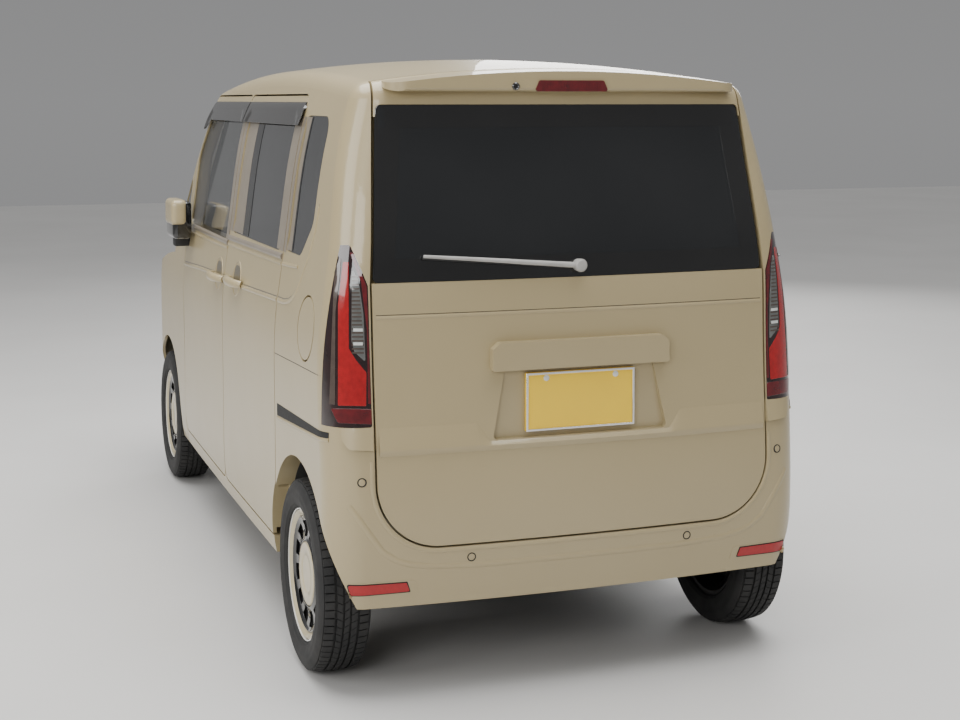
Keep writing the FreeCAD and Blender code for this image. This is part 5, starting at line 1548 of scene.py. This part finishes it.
@dataclass
class RoadWheels(Assembly):
    """Wheels with a cream ring, a black slotted dish and a plain disc, and treaded tyres.

    Attributes:
        radius: Radius of the tyre.
        width: Width of the tyre.
        slots: Number of slots in the dish.
        pitches: Number of tread blocks round the tyre.
        rib_edges: Edges of the tread's ribs across its width.
    """

    radius: float = 0.278
    width: float = 0.155
    slots: int = 12
    pitches: int = 72
    rib_edges: tuple[tuple[float, float], ...] = (
        (-0.062, -0.036), (-0.029, -0.013), (-0.007, 0.007), (0.013, 0.029), (0.036, 0.062))

    def build(self) -> None:
        """Makes the four wheels and tyres, each riding on its own body."""
        parts = (
            ("ring", self._ring, WHEEL_CREAM), ("edge", self._edge, RIM_LINE),
            ("dish", self._dish, GLOSS_BLACK), ("disc", self._disc, WHEEL_CREAM),
            ("barrel", self._barrel, CHASSIS))
        for place in ("front_left", "front_right", "rear_left", "rear_right"):
            low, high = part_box("tyre_" + place)
            middle = (low + high) / 2
            seat = Matrix.Translation(middle)
            if place.endswith("right"):
                seat = seat @ Matrix.Rotation(math.pi, 4, "Z")
            body = "road_wheel_" + place
            for name, maker, finish in parts:
                mesh = maker()
                bmesh.ops.transform(mesh, matrix=seat, verts=mesh.verts)
                replaced = ("wheel_" + place,) if name == "barrel" else ()
                self.add(f"wheel_{name}_{place}", mesh, finish, body, slot="wheel_paint", replaces=replaced,
                         bevel=0.001 if name in ("dish", "disc") else 0.0)
            tyre = self._tyre()
            bmesh.ops.transform(tyre, matrix=seat, verts=tyre.verts)
            self.add(f"tyre_treaded_{place}", tyre, RUBBER, body, slot="tyre_rubber",
                     replaces=("tyre_" + place,), angle=40.0)

    def _ring(self) -> bmesh.types.BMesh:
        """The cream ring between the rim's edge and the dish."""
        return turned(((0.0530, 0.1865), (0.0605, 0.1845), (0.0615, 0.1800), (0.0560, 0.1715),
                       (0.0520, 0.1680), (0.0490, 0.1680), (0.0490, 0.1865)))

    def _edge(self) -> bmesh.types.BMesh:
        """The thin bright line round the rim."""
        return turned(((0.0540, 0.1866), (0.0628, 0.1868), (0.0630, 0.1900), (0.0590, 0.1915),
                       (0.0540, 0.1900)))

    def _dish(self) -> bmesh.types.BMesh:
        """The black dish with its slots cut through."""
        radii = (0.0930, 0.1000, 0.1060, 0.1240, 0.1420, 0.1560, 0.1620, 0.1680)
        depths = (0.0460, 0.0430, 0.0405, 0.0370, 0.0380, 0.0420, 0.0455, 0.0500)
        per_slot = 8
        segments = self.slots * per_slot
        mesh = bmesh.new()
        rows = []
        for section in range(segments):
            angle = math.tau * section / segments
            rows.append([mesh.verts.new((radius * math.sin(angle), depth, radius * math.cos(angle)))
                         for radius, depth in zip(radii, depths)])
        for section, row in enumerate(rows):
            following = rows[(section + 1) % segments]
            for index in range(len(radii) - 1):
                open_here = 1 <= section % per_slot <= per_slot - 3 and 2 <= index <= 4
                if not open_here:
                    mesh.faces.new([row[index], row[index + 1], following[index + 1], following[index]])
        bmesh.ops.recalc_face_normals(mesh, faces=mesh.faces)
        bmesh.ops.solidify(mesh, geom=mesh.faces[:], thickness=0.006)
        return mesh

    def _disc(self) -> bmesh.types.BMesh:
        """The plain centre disc with a stepped edge."""
        return turned(((0.0300, 0.0), (0.0300, 0.0900), (0.0470, 0.0930), (0.0520, 0.0900), (0.0535, 0.0840),
                       (0.0528, 0.0560), (0.0500, 0.0520), (0.0505, 0.0300), (0.0510, 0.0)), 72, closed=False)

    def _barrel(self) -> bmesh.types.BMesh:
        """The steel rim behind the dish, with its inner flange."""
        return turned(((-0.0630, 0.1900), (-0.0600, 0.1905), (-0.0580, 0.1790), (-0.0400, 0.1760),
                       (-0.0100, 0.1620), (0.0250, 0.1620), (0.0420, 0.1760), (0.0540, 0.1790),
                       (0.0550, 0.1860), (0.0500, 0.1860), (0.0480, 0.1720), (0.0300, 0.1560), (0.0220, 0.1200),
                       (0.0280, 0.0800), (0.0280, 0.0), (0.0240, 0.0), (0.0240, 0.0800), (0.0160, 0.1200),
                       (0.0220, 0.1560), (-0.0120, 0.1570), (-0.0440, 0.1700), (-0.0630, 0.1720)), closed=False)

    def _crown(self, across: float) -> float:
        """Radius of the tread at a distance from its middle."""
        return self.radius - 0.010 * (abs(across) / (self.width / 2)) ** 3.2

    def _tyre(self) -> bmesh.types.BMesh:
        """The tyre's casing and its raised tread blocks."""
        half = self.width / 2
        deep = 0.0065
        side = (
            (half - 0.0205, 0.1800), (half - 0.0170, 0.1930), (half - 0.0100, 0.1965), (half - 0.0085, 0.2010),
            (half - 0.0045, 0.2035), (half - 0.0030, 0.2130), (half - 0.0004, 0.2240), (half, 0.2330),
            (half - 0.0016, 0.2420), (half - 0.0010, 0.2435), (half - 0.0030, 0.2520), (half - 0.0080, 0.2630),
            (half - 0.0125, 0.2680))
        tread = [(across, self._crown(across) - deep) for across in (0.058, 0.036, 0.018, 0.0)]
        outer = list(side) + tread
        profile = outer + [(-y, radius) for y, radius in reversed(outer[:-1])]
        casing = turned(profile, 96)
        blocks = bmesh.new()
        turn = math.tau / self.pitches
        for rib, (start, end) in enumerate(self.rib_edges):
            shoulder = rib in (0, len(self.rib_edges) - 1)
            cut = 0.16 if shoulder else 0.09
            offset = 0.5 * (rib % 2)
            for pitch in range(self.pitches):
                first = (pitch + offset) * turn
                last = first + turn * (1 - cut)
                lean = turn * (0.35 if not shoulder else 0.0) * (1 if rib > 2 else -1)
                self._tread_block(blocks, start, end, first, last, lean, deep + 0.004)
        bmesh.ops.recalc_face_normals(blocks, faces=blocks.faces)
        return joined([casing, blocks])

    def _tread_block(self, mesh: bmesh.types.BMesh, start: float, end: float, first: float, last: float,
                     lean: float, deep: float) -> None:
        """Adds one tread block between two angles and two edges.

        Args:
            mesh: Mesh that takes the block.
            start: Its edge towards the inside.
            end: Its edge towards the outside.
            first: Angle of its leading edge.
            last: Angle of its trailing edge.
            lean: How much its outer edge is turned on.
            deep: Depth of its foot below its top.
        """
        stations = 3
        tops, feet = [], []
        for step in range(stations + 1):
            share = step / stations
            across = start + (end - start) * share
            radius = self._crown(across)
            for angle in (first + lean * share, last + lean * share):
                sine, cosine = math.sin(angle), math.cos(angle)
                tops.append(mesh.verts.new((radius * sine, across, radius * cosine)))
                feet.append(mesh.verts.new(((radius - deep) * sine, across, (radius - deep) * cosine)))
        for step in range(stations):
            a, b, c, d = 2 * step, 2 * step + 1, 2 * step + 3, 2 * step + 2
            mesh.faces.new([tops[a], tops[b], tops[c], tops[d]])
            mesh.faces.new([tops[a], tops[d], feet[d], feet[a]])
            mesh.faces.new([tops[b], feet[b], feet[c], tops[c]])
        mesh.faces.new([tops[0], feet[0], feet[1], tops[1]])
        mesh.faces.new([tops[-2], tops[-1], feet[-1], feet[-2]])


@dataclass
class FrontFace(Assembly):
    """Headlamp insides, grille bars, intake lattice, windscreen border and wiper blades.

    Attributes:
        bars: Number of bars of the grille.
        lamp_inner: Inner edge of a headlamp.
    """

    bars: int = 4
    lamp_inner: float = 0.470

    def build(self) -> None:
        """Makes the front's pieces."""
        self._grille()
        self._headlamps()
        self._intake()
        self._glass_border()
        self._wipers()

    def _grille(self) -> None:
        """Adds the grille's bars over its black base."""
        low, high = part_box("grille")
        skin = Skin("grille")
        lines = []
        for step in range(self.bars):
            z = low.z + 0.028 + step * (high.z - low.z - 0.045) / (self.bars - 1)
            reach = high.y - 0.016
            lines.append(ribbon(skin, Facing.FRONT, ((-reach, z), (reach, z)), 0.012, 0.0035))
        self.add("grille_bars", joined(lines), GLOSS_BLACK, "body", slot="grille_black")
        reach, z = high.y - 0.012, high.z - 0.010
        edge = ribbon(skin, Facing.FRONT, ((-reach, z), (reach, z)), 0.008, 0.003)
        self.add("grille_edge", edge, CHROME, "body")

    def _headlamps(self) -> None:
        """Fills each headlamp with a bright ring, a dark bezel and an amber strip."""
        low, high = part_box("headlamps")
        skin = Skin("headlamps")
        inner, outer = self.lamp_inner, high.y - 0.012
        base = ((inner, low.z + 0.006, 0.010), (outer, low.z + 0.010, 0.020), (outer, high.z - 0.034, 0.030),
                (outer - 0.050, high.z - 0.010, 0.020), (inner, high.z - 0.008, 0.010))
        plate = patch(skin, Facing.FRONT, base, -0.016, 0.006, 0.02)
        self.add("headlamp_bezels", both(plate), GLOSS_BLACK, "body", slot="lamp_clear")
        rings = []
        for y, z, radius in ((inner + 0.050, (low.z + high.z) / 2 - 0.012, 0.036),
                             (inner + 0.132, (low.z + high.z) / 2 - 0.012, 0.030)):
            spot, _ = skin.meet(Facing.FRONT, y, z)
            bowl = turned(((-0.030, 0.0), (-0.026, radius * 0.6), (-0.014, radius), (-0.010, radius),
                           (-0.013, radius * 0.86), (-0.022, radius * 0.5), (-0.023, 0.0)), 40, closed=False)
            rings.append(placed(bowl, spot, Vector((1.0, 0.0, 0.0))))
        whole = joined(rings)
        self.add("headlamp_bowls", both(whole), CHROME, "body", slot="lamp_clear")
        line = ((inner + 0.012, high.z - 0.026), (outer - 0.060, high.z - 0.030),
                (outer - 0.020, high.z - 0.070), (outer - 0.016, low.z + 0.040))
        tube = ribbon(skin, Facing.FRONT, line, 0.010, -0.006, 0.012)
        self.add("headlamp_light_lines", both(tube), LAMP_WHITE, "body", slot="lamp_clear")
        strip = ((inner + 0.020, low.z + 0.016), (outer - 0.040, low.z + 0.018))
        amber = ribbon(skin, Facing.FRONT, strip, 0.010, -0.007, 0.012)
        self.add("headlamp_indicators", both(amber), AMBER, "body", slot="lamp_clear")

    def _intake(self) -> None:
        """Fills the lower intake with a dark lattice."""
        low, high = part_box("front_bumper")
        x = high.x - 0.048
        rods = []
        for step in range(6):
            z = 0.345 + step * 0.020
            rods.append(rod([Vector((x - 0.030, -0.425, z)), Vector((x, -0.20, z)), Vector((x, 0.20, z)),
                             Vector((x - 0.030, 0.425, z))], 0.0035, 6))
        for step in range(25):
            y = -0.408 + step * 0.034
            bend = 0.030 * max(0.0, abs(y) - 0.20) / 0.225
            rods.append(rod([Vector((x - bend, y, 0.335)), Vector((x - bend, y, 0.450))], 0.0028, 6))
        self.add("intake_lattice", joined(rods), TRIM, "body", slot="black_trim")

    def _glass_border(self) -> None:
        """Prints the black border round the windscreen."""
        low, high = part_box("windscreen")
        skin = Skin("windscreen")
        edge, band = 0.006, 0.045
        bottom, top = low.z + edge, high.z - edge
        wide, narrow = high.y - edge, high.y - 0.072 - edge

        def half(level: float) -> float:
            """Half width of the windscreen at a level."""
            return wide + (narrow - wide) * (level - bottom) / (top - bottom)

        low_band = ((-half(bottom), bottom, 0.03), (half(bottom), bottom, 0.03), (half(bottom + band),
                    bottom + band, 0.0), (-half(bottom + band), bottom + band, 0.0))
        top_band = ((-half(top - band), top - band, 0.0), (half(top - band), top - band, 0.0),
                    (narrow, top, 0.04), (-narrow, top, 0.04))
        side = ((half(bottom + band) - 0.022, bottom + band, 0.0), (half(bottom + band), bottom + band, 0.0),
                (half(top - band), top - band, 0.0), (half(top - band) - 0.022, top - band, 0.0))
        left = patch(skin, Facing.FRONT, side, 0.0006, 0.001, 0.05)
        meshes = [patch(skin, Facing.FRONT, band_corners, 0.0006, 0.001, 0.05)
                  for band_corners in (low_band, top_band)] + [mirror(left), left]
        self.add("windscreen_border", joined(meshes), FRIT, "body", slot="glass_clear")

    def _wipers(self) -> None:
        """Adds rubber blades under the CAD wiper arms."""
        skin = Skin("windscreen")
        blades = []
        for start, end in (((0.33, 1.075), (-0.11, 1.155)), ((-0.28, 1.060), (-0.58, 1.115))):
            blades.append(rod(skin.line(Facing.FRONT, start, end, 5, lambda _: 0.008), 0.006, 6))
        self.add("front_wiper_blades", joined(blades), SEAL_AND_SHADE, "body", slot="black_trim")


@dataclass
class Cabin(Assembly):
    """Seats, head restraints, dashboard dressing, roof lining and door cards.

    Attributes:
        seat_side: Distance of a front seat's middle from the car's middle.
        seat_width: Width of a front seat.
    """

    seat_side: float = 0.330
    seat_width: float = 0.486

    def build(self) -> None:
        """Makes the cabin's pieces."""
        self._front_seats()
        self._rear_seat()
        self._dashboard()
        self._lining()

    def _pad(self, name: str, size: Vector, crown: float, place: Matrix, replaces: Sequence[str] = (),
             seams: Sequence[float] = (), edge: float = 0.045) -> None:
        """Adds one upholstered pad.

        Args:
            name: The pad's name.
            size: Its length, width and thickness.
            crown: How far its top swells.
            place: Where it goes from the origin.
            replaces: CAD nodes that it stands for.
            seams: Places across its width where the cover is sewn down.
            edge: Radius of its edges.
        """
        pad = cushion(size, crown, edge, seams)
        bmesh.ops.transform(pad, matrix=place, verts=pad.verts)
        piece = self.add(name, pad, CLOTH, "body", slot="seat_cloth", replaces=replaces, subdivide=1,
                         angle=80.0)

    def _front_seats(self) -> None:
        """Makes both front seats: base, cushion, back and head restraint."""
        lean = math.radians(26.5)
        frames = []
        for hand in Hand:
            y = hand.value * self.seat_side
            half = self.seat_width / 2
            seat = Matrix.Translation((0.185, y, 0.455)) @ Matrix.Rotation(math.radians(-3.0), 4, "Y")
            self._pad(f"seat_cushion_{hand.word}", Vector((0.470, self.seat_width, 0.125)), 0.018, seat,
                      ("front_seats",) if hand is Hand.LEFT else (), (-half * 0.52, half * 0.52))
            back = Matrix.Translation((-0.163, y, 0.700)) @ Matrix.Rotation(lean - math.pi / 2, 4, "Y")
            self._pad(f"seat_back_{hand.word}", Vector((0.520, self.seat_width, 0.120)), 0.018, back, (),
                      (-half * 0.52, half * 0.52))
            head = Matrix.Translation((-0.268, y, 1.062)) @ Matrix.Rotation(math.radians(-84), 4, "Y")
            self._pad(f"seat_head_{hand.word}", Vector((0.165, 0.250, 0.090)), 0.010, head, (), (), 0.036)
            for side in (-0.055, 0.055):
                ends = [Vector((-0.262, y + side, 0.90)), Vector((-0.266, y + side, 1.02))]
                frames.append(rod(ends, 0.006, 10))
            frames.append(block((-0.04, y - half + 0.03, 0.262), (0.40, y + half - 0.03, 0.392), 0.014, 3))
        self.add("seat_bases", joined(frames), TRIM, "body", slot="black_trim")

    def _rear_seat(self) -> None:
        """Makes the rear bench: two cushions and two backs on a base."""
        for hand in Hand:
            y = hand.value * 0.276
            seat = Matrix.Translation((-0.695, y, 0.600)) @ Matrix.Rotation(math.radians(-2.5), 4, "Y")
            self._pad(f"bench_cushion_{hand.word}", Vector((0.420, 0.540, 0.120)), 0.014, seat,
                      ("rear_seat",) if hand is Hand.LEFT else (), (-0.13, 0.13))
            back = Matrix.Translation((-0.998, y, 0.850)) @ Matrix.Rotation(math.radians(-74), 4, "Y")
            self._pad(f"bench_back_{hand.word}", Vector((0.500, 0.540, 0.095)), 0.012, back,
                      seams=(-0.13, 0.13))
        base = block((-0.880, -0.540, 0.262), (-0.500, 0.540, 0.545), 0.012, 3)
        self.add("bench_base", base, TRIM, "body", slot="black_trim")

    def _dashboard(self) -> None:
        """Dresses the dashboard with vents and displays."""
        low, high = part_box("dashboard")
        x = low.x
        pieces = []
        for y in (-0.52, -0.14, 0.14, 0.52):
            for level in range(4):
                z = 0.865 + level * 0.011
                pieces.append(block((x - 0.004, y - 0.050, z), (x + 0.010, y + 0.050, z + 0.005), 0.001, 1))
        self.add("dash_vents", joined(pieces), TRIM, "body", slot="dash_plastic")
        display = block((x + 0.010, -0.115, high.z - 0.030), (x + 0.030, 0.115, high.z + 0.090), 0.004, 3)
        dials = block((x + 0.015, -0.440, high.z - 0.020), (x + 0.035, -0.220, high.z + 0.070), 0.004, 3)
        self.add("dash_displays", joined([display, dials]), SCREEN, "body", slot="dash_plastic")

    def _lining(self) -> None:
        """Lines the roof and the front doors inside."""
        roof = Skin("roof_panel")
        sheet = ((-1.43, -0.500, 0.05), (0.50, -0.500, 0.05), (0.50, 0.500, 0.05), (-1.43, 0.500, 0.05))
        self.add("roof_lining", patch(roof, Facing.BELOW, sheet, 0.010, 0.006, 0.08), LINER, "body")
        door = Skin("door_front_left")
        card = ((-0.120, 0.360, 0.04), (0.690, 0.360, 0.04), (0.690, 1.110, 0.05), (-0.120, 1.120, 0.05))
        plate = patch(door, Facing.INSIDE, card, 0.004, 0.003, 0.06)
        twin = mirror(plate)
        self.add("door_card_left", plate, DOOR_CARD, "door_left")
        self.add("door_card_right", twin, DOOR_CARD, "door_right")


def main() -> None:
    """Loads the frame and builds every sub-assembly in order."""
    logging.basicConfig(level=logging.INFO, format="%(message)s")
    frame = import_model()
    Studio().build()
    CarriedNodes().build(frame)
    TailLamps().build()
    Plates().build()
    TailgateTrim().build()
    RearBumperTrim().build()
    SideTrim().build()
    Mirrors().build()
    RoadWheels().build()
    FrontFace().build()
    Cabin().build()


if __name__ == "__main__":
    main()
